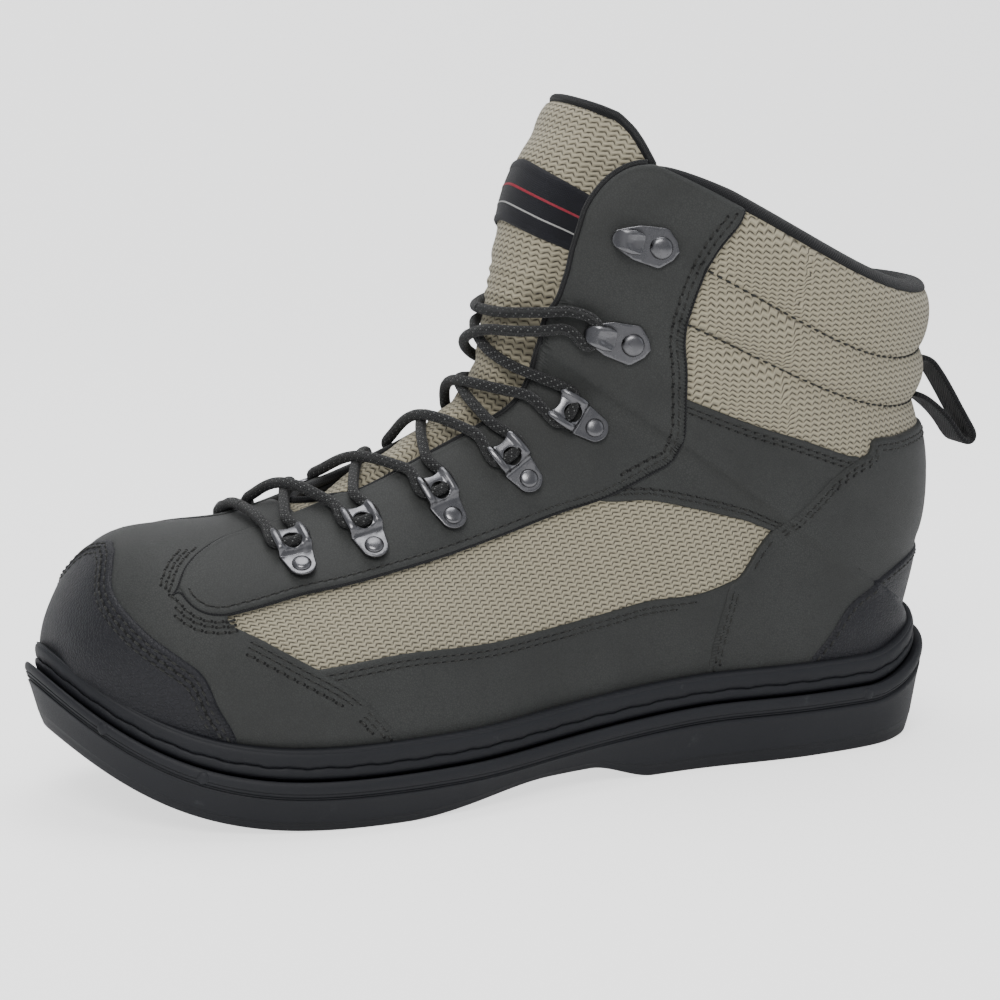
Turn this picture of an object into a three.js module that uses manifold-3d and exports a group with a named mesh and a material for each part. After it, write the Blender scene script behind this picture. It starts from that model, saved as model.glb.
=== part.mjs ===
// A left wading boot: padded mesh upper with leather panels, laced through metal loops and hooks,
// on a cupped rubber sole. Millimetres, +Z up, toe towards -X, outer side towards -Y.
import * as THREE from "three";
import { mergeVertices } from "three/addons/utils/BufferGeometryUtils.js";
import Module from "manifold-3d";

const wasm = await Module();
wasm.setup();

// Driving sizes of the sole.
const soleLength = 326;
const ballWidth = 121;
const outsoleThick = 12.5;
const lipThick = 4.5;
const weltThick = 10.5;
const heelRaise = 6.2;
const heelKick = 13;
const toeSpring = 33;
const archRise = 6;
const lugDepth = 3.5;
const lugGroove = 5;

// Driving sizes of the upper.
const upperHeight = 180;
const feather = 8.2;
const wall = 2.6;
const collarWall = 7;
const rimDepth = 3;
const clearance = 0.3;
const panelThick = 1.3;
const capThick = 1.8;
const padPuff = 1.8;
const bindingHeight = 4;
const insoleThick = 4;
const tongueThick = 5;
const throatDepth = 12;
const throatRise = 8;
const labelThick = 1;

// Driving sizes of the lacing.
const laceWidth = 3.4;
const metal = 1;
const loopWidth = 11;
const loopReach = 9;
const archRadius = 3.4;
const loopBore = 1.7;
const rivetRadius = 3.1;
const rivetHeight = 1.5;
const hookWidth = 11;
const hookNose = 7;
const hookTail = 8;
const hookMouth = 3;

// Driving sizes of the pull loop.
const strapThick = 1.8;
const strapWidth = 14;

// Levels of the sole's layers at the ball.
const weltBottom = outsoleThick + lipThick;
const weltTop = weltBottom + weltThick;
const seatHeight = weltTop - rimDepth;
const ribMiddle = weltBottom + 0.48 * weltThick;
const seatGap = 2 * clearance;

// A smooth value through evenly spaced key values, at a fractional position along them. At the corner it may turn
// sharply, and past the last value it goes on straight.
function through(values, position, corner) {
  const last = values.length - 1;
  const index = Math.min(Math.max(Math.floor(position), 0), last - 1);
  const t = position - index;
  const from = values[index];
  const to = values[index + 1];
  if (t > 1) return to + (to - from) * (t - 1);
  const before = index === corner ? from : values[Math.max(index - 1, 0)];
  const after = index + 1 === corner ? to : values[Math.min(index + 2, last)];
  const startSlope = (to - before) / 2;
  const endSlope = (after - from) / 2;
  return (
    (2 * t ** 3 - 3 * t ** 2 + 1) * from +
    (t ** 3 - 2 * t ** 2 + t) * startSlope +
    (3 * t ** 2 - 2 * t ** 3) * to +
    (t ** 3 - t ** 2) * endSlope
  );
}

// A smooth step from 0 to 1 between two places.
function ramp(from, to, at) {
  const t = Math.min(Math.max((at - from) / (to - from), 0), 1);
  return t * t * (3 - 2 * t);
}

function columnsOf(rows) {
  return Object.fromEntries(Object.keys(rows[0]).map((name) => [name, rows.map((row) => row[name])]));
}

// The sole's outline from above. along is a share of soleLength from the heel, across a share of ballWidth
// from the centre line, with the outer side negative.
const soleOutline = [
  { along: 0.0, across: 0.0 },
  { along: 0.017, across: -0.19 },
  { along: 0.07, across: -0.32 },
  { along: 0.18, across: -0.375 },
  { along: 0.33, across: -0.365 },
  { along: 0.46, across: -0.4 },
  { along: 0.6, across: -0.485 },
  { along: 0.71, across: -0.51 },
  { along: 0.82, across: -0.465 },
  { along: 0.915, across: -0.345 },
  { along: 0.975, across: -0.17 },
  { along: 1.0, across: 0.04 },
  { along: 0.983, across: 0.23 },
  { along: 0.93, across: 0.375 },
  { along: 0.84, across: 0.465 },
  { along: 0.74, across: 0.49 },
  { along: 0.62, across: 0.45 },
  { along: 0.48, across: 0.345 },
  { along: 0.35, across: 0.305 },
  { along: 0.19, across: 0.34 },
  { along: 0.075, across: 0.305 },
  { along: 0.018, across: 0.185 },
];

const outlineCurve = new THREE.CatmullRomCurve3(
  soleOutline.map((p) => new THREE.Vector3(p.along * soleLength, p.across * ballWidth, 0)),
  true,
  "centripetal",
);

// Points round the sole's outline, moved inwards by inset. They stand closer together at the toe and the heel.
function outlineRing(count, inset) {
  const ring = [];
  for (let i = 0; i < count; i++) {
    const at = i / count - (0.45 * Math.sin((4 * Math.PI * i) / count)) / (4 * Math.PI);
    const point = outlineCurve.getPointAt(Math.max(at, 0));
    const tangent = outlineCurve.getTangentAt(Math.max(at, 0));
    ring.push({ along: point.x - tangent.y * inset, across: point.y + tangent.x * inset });
  }
  return ring;
}

// The upper's outline at the seat: signed distances across to its outer and inner side.
const seatRing = outlineRing(240, feather);
const seatTip = seatRing.reduce((a, b) => (b.along > a.along ? b : a));
const seatBack = seatRing.reduce((a, b) => (b.along < a.along ? b : a));
function seatAcross(along) {
  const at = Math.min(Math.max(along, seatBack.along + 0.01), seatTip.along - 0.01);
  const found = { outer: 0, inner: 0 };
  seatRing.forEach((a, i) => {
    const b = seatRing[(i + 1) % seatRing.length];
    if ((a.along - at) * (b.along - at) > 0 || a.along === b.along) return;
    const across = a.across + ((b.across - a.across) * (at - a.along)) / (b.along - a.along);
    found[b.along > a.along ? "outer" : "inner"] = across;
  });
  return found;
}

// Heights along the boot: the sole's bottom, and a layer that is level at the ball.
const springStart = 0.68 * soleLength;
const kickStart = 0.11 * soleLength;
function springHeight(along) {
  return toeSpring * (Math.max(along - springStart, 0) / (soleLength - springStart)) ** 3.4;
}
function bottomHeight(along) {
  const heelFront = ramp(0.37 * soleLength, 0.45 * soleLength, along);
  const ballBack = 1 - ramp(0.5 * soleLength, 0.67 * soleLength, along);
  return archRise * heelFront * ballBack + springHeight(along);
}
function layerHeight(along, level) {
  const raise = heelRaise * (1 - ramp(0.27 * soleLength, 0.62 * soleLength, along));
  const kick = heelKick * (Math.max(kickStart - along, 0) / kickStart) ** 1.5;
  return level + raise + kick + springHeight(along);
}

// The boot's own coordinates: along from the heel, across, and up.
const heelX = soleLength / 2;
function spot(along, across, up) {
  return new THREE.Vector3(heelX - along, across, up);
}

// A place in the side view: along as a share of soleLength, up as a share of upperHeight over the seat.
function sideSpot(place) {
  const along = place.along * soleLength;
  return { along, up: seatHeight + springHeight(along) + place.up * upperHeight };
}

// Key sections of the upper in the side view, from the toe to the collar: the ridge and the base of each, along as
// shares of soleLength and up as shares of upperHeight over the seat.
const sections = [
  { ridgeAlong: 0.974, ridgeUp: 0, baseAlong: 0.974, baseUp: 0 },
  { ridgeAlong: 0.963, ridgeUp: 0.102, baseAlong: 0.94, baseUp: 0 },
  { ridgeAlong: 0.933, ridgeUp: 0.233, baseAlong: 0.898, baseUp: 0 },
  { ridgeAlong: 0.898, ridgeUp: 0.309, baseAlong: 0.85, baseUp: 0 },
  { ridgeAlong: 0.848, ridgeUp: 0.349, baseAlong: 0.787, baseUp: 0 },
  { ridgeAlong: 0.776, ridgeUp: 0.375, baseAlong: 0.702, baseUp: 0 },
  { ridgeAlong: 0.683, ridgeUp: 0.436, baseAlong: 0.597, baseUp: 0 },
  { ridgeAlong: 0.606, ridgeUp: 0.503, baseAlong: 0.477, baseUp: 0 },
  { ridgeAlong: 0.553, ridgeUp: 0.567, baseAlong: 0.347, baseUp: 0 },
  { ridgeAlong: 0.528, ridgeUp: 0.617, baseAlong: 0.207, baseUp: 0 },
  { ridgeAlong: 0.517, ridgeUp: 0.68, baseAlong: 0.088, baseUp: 0 },
  { ridgeAlong: 0.512, ridgeUp: 0.736, baseAlong: 0.025, baseUp: 0 },
  { ridgeAlong: 0.508, ridgeUp: 0.775, baseAlong: 0.0045, baseUp: 0.15 },
  { ridgeAlong: 0.504, ridgeUp: 0.808, baseAlong: 0.005, baseUp: 0.3 },
  { ridgeAlong: 0.499, ridgeUp: 0.847, baseAlong: 0.011, baseUp: 0.445 },
  { ridgeAlong: 0.484, ridgeUp: 0.964, baseAlong: 0.005, baseUp: 0.55 },
  { ridgeAlong: 0.448, ridgeUp: 1.086, baseAlong: 0.003, baseUp: 0.664 },
];

// The girth of the same sections. swell is how far the side stands out over the seat's outline, shaft the half
// width of the leg, both shares of ballWidth, and leg goes from the one to the other. wide is the share of the way
// up at which a section is widest, crown its roundness, centre its middle across as a share of ballWidth, gap how
// far round the throat is open and dip how far the section sags, a share of upperHeight.
const girths = [
  { swell: 0, shaft: 0.34, leg: 0, wide: 0.3, crown: 2, centre: 0.035, gap: 0.1, dip: 0 },
  { swell: 0.006, shaft: 0.34, leg: 0, wide: 0.3, crown: 2.1, centre: 0.035, gap: 0.1, dip: 0 },
  { swell: 0.01, shaft: 0.34, leg: 0, wide: 0.3, crown: 2.2, centre: 0.03, gap: 0.1, dip: 0 },
  { swell: 0.01, shaft: 0.34, leg: 0, wide: 0.28, crown: 2.3, centre: 0.025, gap: 0.1, dip: 0 },
  { swell: 0.008, shaft: 0.34, leg: 0, wide: 0.26, crown: 2.2, centre: 0.015, gap: 0.1, dip: 0 },
  { swell: 0.004, shaft: 0.34, leg: 0, wide: 0.24, crown: 2.1, centre: 0.005, gap: 0.1, dip: 0 },
  { swell: 0, shaft: 0.34, leg: 0, wide: 0.22, crown: 2, centre: 0, gap: 0.19, dip: 0 },
  { swell: 0.004, shaft: 0.34, leg: 0, wide: 0.22, crown: 1.95, centre: 0, gap: 0.225, dip: 0 },
  { swell: 0.012, shaft: 0.335, leg: 0, wide: 0.24, crown: 1.95, centre: 0, gap: 0.27, dip: 0 },
  { swell: 0.02, shaft: 0.335, leg: 0.15, wide: 0.3, crown: 1.95, centre: 0, gap: 0.3, dip: 0 },
  { swell: 0.02, shaft: 0.335, leg: 0.55, wide: 0.36, crown: 1.95, centre: 0, gap: 0.32, dip: 0 },
  { swell: 0, shaft: 0.335, leg: 1, wide: 0.42, crown: 1.95, centre: 0, gap: 0.33, dip: 0 },
  { swell: 0, shaft: 0.335, leg: 1, wide: 0.43, crown: 1.95, centre: 0, gap: 0.335, dip: 0 },
  { swell: 0, shaft: 0.335, leg: 1, wide: 0.44, crown: 1.95, centre: 0, gap: 0.37, dip: 0.01 },
  { swell: 0, shaft: 0.345, leg: 1, wide: 0.45, crown: 2, centre: 0, gap: 0.39, dip: 0.055 },
  { swell: 0, shaft: 0.36, leg: 1, wide: 0.45, crown: 2, centre: 0, gap: 0.41, dip: 0.07 },
  { swell: 0, shaft: 0.37, leg: 1, wide: 0.46, crown: 2, centre: 0, gap: 0.52, dip: 0.049 },
];
const side = columnsOf(sections);
const girth = columnsOf(girths);
const collarRow = sections.length - 1;
const backRow = 11;
const throatRow = 5.55;

// A point on the upper's form. row runs from the toe to the collar, hand is -1 for the outer side and 1 for the
// inner, turn goes from 0 at the ridge to 1 at the widest place and 2 at the base.
function formPoint(row, hand, turn) {
  const sideAt = (name) => through(side[name], row, backRow);
  const girthAt = (name) => through(girth[name], row, backRow);
  const onSeat = row < backRow;
  const baseAlong = sideAt("baseAlong") * soleLength;
  const edges = seatAcross(baseAlong);
  const middle = girthAt("centre") * ballWidth;
  const foot = onSeat ? Math.max(hand * ((hand < 0 ? edges.outer : edges.inner) - middle), 0) : 0;
  const leg = Math.min(Math.max(girthAt("leg"), 0), 1);
  const widest = (foot + girthAt("swell") * ballWidth) * (1 - leg) + girthAt("shaft") * ballWidth * leg;
  const baseUp = onSeat
    ? layerHeight(baseAlong, seatHeight)
    : layerHeight(seatBack.along, seatHeight) + sideAt("baseUp") * upperHeight;
  const ridge = sideSpot({ along: sideAt("ridgeAlong"), up: sideAt("ridgeUp") });
  const wide = girthAt("wide");
  const power = 2 / girthAt("crown");
  let share;
  let across;
  if (turn <= 1) {
    const angle = (turn * Math.PI) / 2;
    share = wide + (1 - wide) * Math.cos(angle) ** power;
    across = widest * Math.sin(angle) ** power;
  } else {
    const down = turn - 1;
    const angle = (down * Math.PI) / 2;
    share = wide * (1 - down * (1 - leg) - Math.sin(angle) * leg);
    across = foot + (widest - foot) * ((1 - down ** 2) * (1 - leg) + Math.cos(angle) * leg);
  }
  const sag = girthAt("dip") * upperHeight * Math.sin(Math.PI * Math.max(share, 0) ** 0.55) ** 2;
  return spot(
    baseAlong + (ridge.along - baseAlong) * share,
    middle + hand * across,
    baseUp + (ridge.up - baseUp) * share - sag,
  );
}

// The way out of the form at a point.
function formNormal(row, hand, turn) {
  const step = 0.02;
  const r = Math.max(row, 0.06);
  const t = Math.min(Math.max(turn, step), 2 - step);
  const alongRow = formPoint(r + step, hand, t).sub(formPoint(r - step, hand, t));
  const alongTurn = formPoint(r, hand, t + step).sub(formPoint(r, hand, t - step));
  const normal = alongTurn.cross(alongRow).multiplyScalar(-hand);
  if (turn === 0 || (turn === 2 && row >= backRow)) normal.y = 0;
  return normal.normalize();
}

// A point at a distance out of the form. It stays just over the sole's seat.
function skin(row, hand, turn, out) {
  const shared = turn === 0 || (turn === 2 && row >= backRow);
  const used = shared ? -1 : hand;
  const point = formPoint(row, used, turn).addScaledVector(formNormal(row, used, turn), out);
  const floor = layerHeight(heelX - point.x, seatHeight) + seatGap;
  if (row <= backRow) point.z = turn === 2 ? floor : Math.max(point.z, floor);
  return point;
}

// Half the throat's opening, round the form. It closes to a round end over the forefoot.
function throatTurn(row) {
  return through(girth.gap, row) * Math.sqrt(Math.min(Math.max((row - throatRow) / 0.5, 0), 1));
}

// The padding of the collar: the wall grows behind the facing, and the quilted rolls stand proud.
function wallAt(row, turn) {
  return wall + (collarWall - wall) * ramp(12, 13.5, row) * ramp(0.66, 0.86, turn);
}
function puffAt(row, turn) {
  if (row < 13 || row > collarRow) return 0;
  return padPuff * Math.abs(Math.sin(Math.PI * row)) * ramp(0.62, 0.85, turn);
}

const root = new THREE.Group();

function add(name, geometry, material) {
  const mesh = new THREE.Mesh(geometry, material);
  mesh.name = name;
  root.add(mesh);
  return mesh;
}

function finish(color, roughness, metalness = 0) {
  return new THREE.MeshStandardMaterial({ color, roughness, metalness });
}
const rubber = finish(0x25272c, 0.65);
const leather = finish(0x474a46, 0.6);
const meshCloth = finish(0xa79f86, 0.95);
const capLeather = finish(0x1d1e22, 0.55);
const lining = finish(0x17181a, 0.9);
const gunmetal = finish(0x74777c, 0.35, 0.9);
const cord = finish(0x2b2d2c, 0.85);
const webbing = finish(0x141516, 0.9);

// Geometry with its points welded where they meet and its empty faces dropped.
function welded(geometry) {
  const bare = new THREE.BufferGeometry();
  bare.setAttribute("position", geometry.attributes.position);
  bare.setIndex(geometry.index);
  const merged = mergeVertices(bare, 1e-3);
  const kept = [];
  for (let i = 0; i < merged.index.count; i += 3) {
    const corners = [0, 1, 2].map((k) => merged.index.getX(i + k));
    if (new Set(corners).size === 3) kept.push(...corners);
  }
  merged.setIndex(kept);
  return merged;
}

// Geometry from faces given as lists of points.
function facesGeometry(faces) {
  const positions = [];
  for (const face of faces)
    for (let i = 2; i < face.length; i++)
      for (const p of [face[0], face[i - 1], face[i]]) positions.push(p.x, p.y, p.z);
  const raw = new THREE.BufferGeometry();
  raw.setAttribute("position", new THREE.Float32BufferAttribute(positions, 3));
  return welded(raw);
}

// A solid to cut and join, from a closed geometry, and the geometry of a solid.
function solid(geometry) {
  const merged = welded(geometry);
  const vertProperties = new Float32Array(merged.attributes.position.array);
  const triVerts = new Uint32Array(merged.index.array);
  return new wasm.Manifold(new wasm.Mesh({ numProp: 3, vertProperties, triVerts }));
}
function geometryOf(body) {
  const mesh = body.getMesh();
  const geometry = new THREE.BufferGeometry();
  geometry.setAttribute("position", new THREE.Float32BufferAttribute(mesh.vertProperties, 3));
  geometry.setIndex(Array.from(mesh.triVerts));
  return geometry;
}

// The largest piece of a cut, without the crumbs beside it.
function mainPiece(body) {
  return body.decompose().reduce((a, b) => (b.volume() > a.volume() ? b : a));
}

// A stack of rings joined into one solid. Each end is closed by rungs from side to side.
function stackGeometry(rings) {
  const faces = [];
  const count = rings[0].length;
  const last = rings[rings.length - 1];
  for (let i = 0; i < count; i++)
    for (let k = 0; k + 1 < rings.length; k++)
      faces.push([rings[k][i], rings[k + 1][i], rings[k + 1][(i + 1) % count], rings[k][(i + 1) % count]]);
  for (let i = 0; i < count / 2; i++) {
    const far = (count - i) % count;
    const next = count - i - 1;
    faces.push([rings[0][i], rings[0][i + 1], rings[0][next], rings[0][far]]);
    faces.push([last[i], last[far], last[next], last[i + 1]]);
  }
  return facesGeometry(faces);
}

// A slab of the form between two distances out of it. turns lists the columns from the outer side's edge over the
// ridge to the inner side's, as signed turns. Where a row has run together at the back, no edge is left to close.
function slabGeometry(rows, turns, low, high) {
  const grid = (out) =>
    rows.map((row) => turns(row).map((t) => skin(row, t < 0 ? -1 : 1, Math.abs(t), out(row, Math.abs(t)))));
  const inner = grid(low);
  const outer = grid(high);
  const faces = [];
  const last = outer[0].length - 1;
  rows.forEach((row, i) => {
    if (i + 1 === rows.length) return;
    for (let j = 0; j < last; j++) {
      faces.push([outer[i][j], outer[i + 1][j], outer[i + 1][j + 1], outer[i][j + 1]]);
      faces.push([inner[i][j], inner[i][j + 1], inner[i + 1][j + 1], inner[i + 1][j]]);
    }
    const closed = row >= backRow && Math.abs(turns(row)[0]) === 2;
    if (closed) return;
    faces.push([outer[i][0], inner[i][0], inner[i + 1][0], outer[i + 1][0]]);
    faces.push([outer[i][last], outer[i + 1][last], inner[i + 1][last], inner[i][last]]);
  });
  const end = rows.length - 1;
  for (let j = 0; j < last; j++) {
    faces.push([outer[0][j], outer[0][j + 1], inner[0][j + 1], inner[0][j]]);
    faces.push([outer[end][j], inner[end][j], inner[end][j + 1], outer[end][j + 1]]);
  }
  return facesGeometry(faces);
}

// Signed turns from one edge over the ridge to the other.
function overRidge(turns) {
  return [...turns.map((t) => -t), 0, ...[...turns].reverse()];
}
const toeRows = [0, 0.4, 1, 1.6, 2.3, 3, 3.8, 4.6, 5.4, 6.2, 7, 8, 9, 9.8, 10.4, 10.8];
const legRows = [11, 11.7, 12.4, 13, 13.5, 14, 14.5, 15, 15.5, 16];
const formRows = [...toeRows, ...legRows];
const formTurns = overRidge([2, 1.75, 1.4, 1, 0.7, 0.45, 0.28, 0.14]);
function formSlab(low, high) {
  return solid(slabGeometry(formRows, () => formTurns, low, high));
}

// The throat: an open wedge down the front that the tongue shows through.
const wedgeRows = [5.55, 5.58, 5.66, 5.82, 6.2, 7, 8, 9, 9.8, 10.4, 10.8];
const throatRows = [...wedgeRows, ...legRows, 16.6, 17.2];
const throatTurns = (row) => overRidge([1, 0.66, 0.33].map((share) => share * throatTurn(row)));
const throat = solid(slabGeometry(throatRows, throatTurns, () => -throatDepth, () => throatRise));

// The upper is one hollow shell, open at the collar, the throat and underneath.
const shell = formSlab((row, turn) => -wallAt(row, turn), puffAt);
add("upper", geometryOf(mainPiece(shell.subtract(throat))), meshCloth);

// The sole: outsole with its lugs, a rounded lip over it, and the ribbed welt that cups the upper.
const ringCount = 50;
function soleRing(inset, height) {
  return outlineRing(ringCount, inset * feather).map((p) => spot(p.along, p.across, height(p.along)));
}
const level = (value) => (along) => layerHeight(along, value);
const bottomAt = (share) => (along) => bottomHeight(along) + share * outsoleThick;

// Grooves across the tread, kept inside a border that is left whole. along is where each stands, reach how wide it
// is, as shares of soleLength and ballWidth.
const treadGrooves = [
  { along: 0.07, reach: 0.42 },
  { along: 0.14, reach: 0.5 },
  { along: 0.21, reach: 0.5 },
  { along: 0.28, reach: 0.46 },
  { along: 0.56, reach: 0.56 },
  { along: 0.62, reach: 0.66 },
  { along: 0.68, reach: 0.74 },
  { along: 0.74, reach: 0.76 },
  { along: 0.8, reach: 0.74 },
  { along: 0.86, reach: 0.62 },
];
const outsoleBlank = solid(
  stackGeometry([
    soleRing(0.75, bottomAt(0)),
    soleRing(0.3, bottomAt(0.2)),
    soleRing(0, (along) => layerHeight(along, outsoleThick)),
  ]),
);
const grooves = treadGrooves.map((groove) => {
  const at = groove.along * soleLength;
  const width = groove.reach * ballWidth;
  const middle = through(girth.centre, collarRow / 2) * ballWidth;
  const channel = new THREE.BoxGeometry(lugGroove, width, 4 * lugDepth);
  channel.translate(heelX - at, middle, bottomHeight(at) - lugDepth);
  return solid(channel);
});
add("outsole", geometryOf(mainPiece(outsoleBlank.subtract(wasm.Manifold.union(grooves)))), rubber);

const lipRings = [
  [0.2, outsoleThick + clearance],
  [0, outsoleThick + 0.28 * lipThick],
  [0, outsoleThick + 0.72 * lipThick],
  [0.2, weltBottom],
].map(([inset, height]) => soleRing(inset, level(height)));
add("midsole", stackGeometry(lipRings), rubber);

const weltRings = [
  [0.52, weltBottom + clearance],
  [0.44, weltBottom + 0.12 * weltThick],
  [0.44, ribMiddle - 0.12 * weltThick],
  [0.6, ribMiddle],
  [0.44, ribMiddle + 0.12 * weltThick],
  [0.44, weltTop - 0.1 * weltThick],
  [0.46, weltTop],
  [0.5, weltTop],
  [0.56, seatHeight - clearance],
].map(([inset, height]) => soleRing(inset, level(height)));
add("welt", stackGeometry(weltRings), rubber);

// The footbed lies on the seat inside the upper's wall.
const bedEdge = 1.1 + (wall + 3 * clearance) / feather;
const bedRings = [
  soleRing(bedEdge, level(seatHeight + seatGap)),
  soleRing(bedEdge, level(seatHeight + seatGap + insoleThick / 2)),
  soleRing(bedEdge + 0.15, level(seatHeight + seatGap + insoleThick)),
];
add("insole", stackGeometry(bedRings), lining);

// The tongue lies inside the upper's wall at its edges and rises to fill the throat between them.
const tongueRows = [5.1, 5.7, 6.2, 7, 8, 9.2, 10.4, 11, 12.4, 13.6, 14.5, 15.5, 16.4];
const tongueTurns = (row) => {
  const edge = Math.max(throatTurn(row), 0.1) + 0.12;
  return overRidge([edge, edge - 0.1, 0.5 * edge, 0.25 * edge]);
};
function tongueOut(row, turn) {
  const edge = throatTurn(row);
  const under = Math.max(ramp(edge - 0.16, edge - 0.03, turn), 1 - ramp(5.7, 6.3, row));
  return -2 * clearance - (wall + 4 * clearance) * under;
}
const tongueLow = (row, turn) => tongueOut(row, turn) - tongueThick;
add("tongue", slabGeometry(tongueRows, tongueTurns, tongueLow, tongueOut), meshCloth);
const labelTurns = () => overRidge([0.26, 0.14]);
const labelLow = (row, turn) => tongueOut(row, turn) + clearance;
const labelHigh = (row, turn) => labelLow(row, turn) + labelThick;
add("tongue_patch", slabGeometry([14.55, 15, 15.45], labelTurns, labelLow, labelHigh), lining);

// A binding along the collar, from one side of the throat round the back to the other.
const bindingSpan = [0.56, 0.7, 1, 1.4, 1.75];
const bindingTurns = () => [...bindingSpan, 2, ...[...bindingSpan].reverse().map((t) => -t)];
const collarStep = (sections[collarRow].ridgeUp - sections[collarRow - 1].ridgeUp) * upperHeight;
const bindingRows = [clearance, bindingHeight].map((height) => collarRow + height / collarStep);
const bindingLow = (row, turn) => -wallAt(row, turn) - clearance;
const bindingHigh = (row, turn) => clearance + panelThick * (1 - ramp(0.6, 0.8, turn));
add("collar_binding", slabGeometry(bindingRows, bindingTurns, bindingLow, bindingHigh), lining);

// Seams of the panels in the side view, along as shares of soleLength and up as shares of upperHeight over the seat.
const toeCapSeam = [
  { along: 0.896, up: 0.438 },
  { along: 0.908, up: 0.306 },
  { along: 0.923, up: 0.253 },
  { along: 0.931, up: 0.211 },
  { along: 0.929, up: 0.191 },
  { along: 0.914, up: 0.167 },
  { along: 0.893, up: 0.152 },
  { along: 0.871, up: 0.132 },
  { along: 0.856, up: 0.079 },
  { along: 0.84, up: 0.03 },
  { along: 0.831, up: -0.073 },
];
const vampSeam = [
  { along: 0.675, up: -0.081 },
  { along: 0.681, up: 0.025 },
  { along: 0.696, up: 0.064 },
  { along: 0.727, up: 0.119 },
  { along: 0.776, up: 0.172 },
  { along: 0.816, up: 0.209 },
  { along: 0.844, up: 0.231 },
  { along: 0.804, up: 0.301 },
  { along: 0.724, up: 0.403 },
  { along: 0.724, up: 0.558 },
];
const facingEdge = [
  { along: 0.258, up: 1.042 },
  { along: 0.285, up: 0.919 },
  { along: 0.307, up: 0.869 },
  { along: 0.319, up: 0.831 },
  { along: 0.331, up: 0.781 },
  { along: 0.337, up: 0.742 },
  { along: 0.34, up: 0.703 },
  { along: 0.337, up: 0.631 },
  { along: 0.337, up: 0.547 },
  { along: 0.34, up: 0.486 },
  { along: 0.35, up: 0.458 },
  { along: 0.371, up: 0.442 },
  { along: 0.426, up: 0.403 },
  { along: 0.482, up: 0.375 },
  { along: 0.54, up: 0.347 },
  { along: 0.598, up: 0.325 },
  { along: 0.656, up: 0.308 },
  { along: 0.712, up: 0.292 },
  { along: 0.767, up: 0.278 },
  { along: 0.825, up: 0.251 },
  { along: 0.847, up: 0.238 },
  { along: 0.865, up: 0.235 },
  { along: 0.877, up: 0.245 },
  { along: 0.882, up: 0.27 },
  { along: 0.88, up: 0.315 },
  { along: 0.865, up: 0.458 },
];
const sidePanelEdge = [
  { along: 0.773, up: 0.156 },
  { along: 0.672, up: 0.169 },
  { along: 0.552, up: 0.164 },
  { along: 0.433, up: 0.186 },
  { along: 0.374, up: 0.203 },
  { along: 0.325, up: 0.208 },
  { along: 0.276, up: 0.231 },
];
const anklePanelEdge = [
  { along: 0.356, up: 0.597 },
  { along: 0.313, up: 0.564 },
  { along: 0.261, up: 0.525 },
  { along: 0.209, up: 0.492 },
  { along: 0.153, up: 0.453 },
  { along: 0.135, up: 0.442 },
  { along: 0.202, up: 0.308 },
  { along: 0.27, up: 0.342 },
  { along: 0.322, up: 0.369 },
  { along: 0.374, up: 0.392 },
  { along: 0.433, up: 0.403 },
  { along: 0.411, up: 0.453 },
];
const counterSeam = [
  { along: 0, up: 0.481 },
  { along: 0.083, up: 0.475 },
  { along: 0.12, up: 0.475 },
  { along: 0.123, up: 0.453 },
  { along: 0.147, up: 0.436 },
  { along: 0.193, up: 0.369 },
  { along: 0.23, up: 0.319 },
  { along: 0.252, up: 0.281 },
  { along: 0.273, up: 0.236 },
  { along: 0.288, up: 0.219 },
  { along: 0.294, up: 0.186 },
  { along: 0.304, up: 0.108 },
  { along: 0.307, up: 0.047 },
  { along: 0.31, up: -0.081 },
];
const guardSeam = [
  { along: 0, up: 0.239 },
  { along: 0.055, up: 0.219 },
  { along: 0.104, up: 0.186 },
  { along: 0.141, up: 0.147 },
  { along: 0.166, up: 0.097 },
  { along: 0.187, up: 0.053 },
  { along: 0.196, up: 0.008 },
  { along: 0.199, up: -0.081 },
];

// Corners well clear of the boot that close the seams' outlines.
const aboveToe = { along: 1.06, up: 0.7 };
const belowToe = { along: 1.06, up: -0.6 };
const aboveHeel = { along: -0.06, up: 0.481 };
const belowHeel = { along: -0.06, up: -0.1 };
const guardTop = { along: -0.06, up: 0.25 };
const overFront = { along: 0.865, up: 1.35 };
const overBack = { along: 0.258, up: 1.35 };
const underArch = [
  { along: 0.276, up: -0.1 },
  { along: 0.773, up: -0.15 },
];

// A closed outline moved outwards by a distance.
function grown(outline, by) {
  const turned = outline.reduce((sum, a, i) => sum + a.cross(outline[(i + 1) % outline.length]), 0);
  return outline.map((p, i) => {
    const before = outline[(i + outline.length - 1) % outline.length];
    const first = p.clone().sub(before).normalize();
    const second = outline[(i + 1) % outline.length].clone().sub(p).normalize();
    const reach = (Math.sign(turned) * by) / (1 + first.dot(second));
    return new THREE.Vector2(p.x + (first.y + second.y) * reach, p.y - (first.x + second.x) * reach);
  });
}

// A prism across the boot, standing on an outline of the side view. hand keeps it to one side.
function sidePrism(places, by = 0, hand = 0) {
  const outline = places.map(sideSpot).map((p) => new THREE.Vector2(heelX - p.along, p.up));
  const shape = new THREE.Shape(grown(outline, by));
  const depth = hand === 0 ? 2 * ballWidth : ballWidth;
  const prism = new THREE.ExtrudeGeometry(shape, { depth, bevelEnabled: false });
  prism.rotateX(Math.PI / 2);
  prism.translate(0, hand < 0 ? 0 : ballWidth, 0);
  return solid(prism);
}

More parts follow.
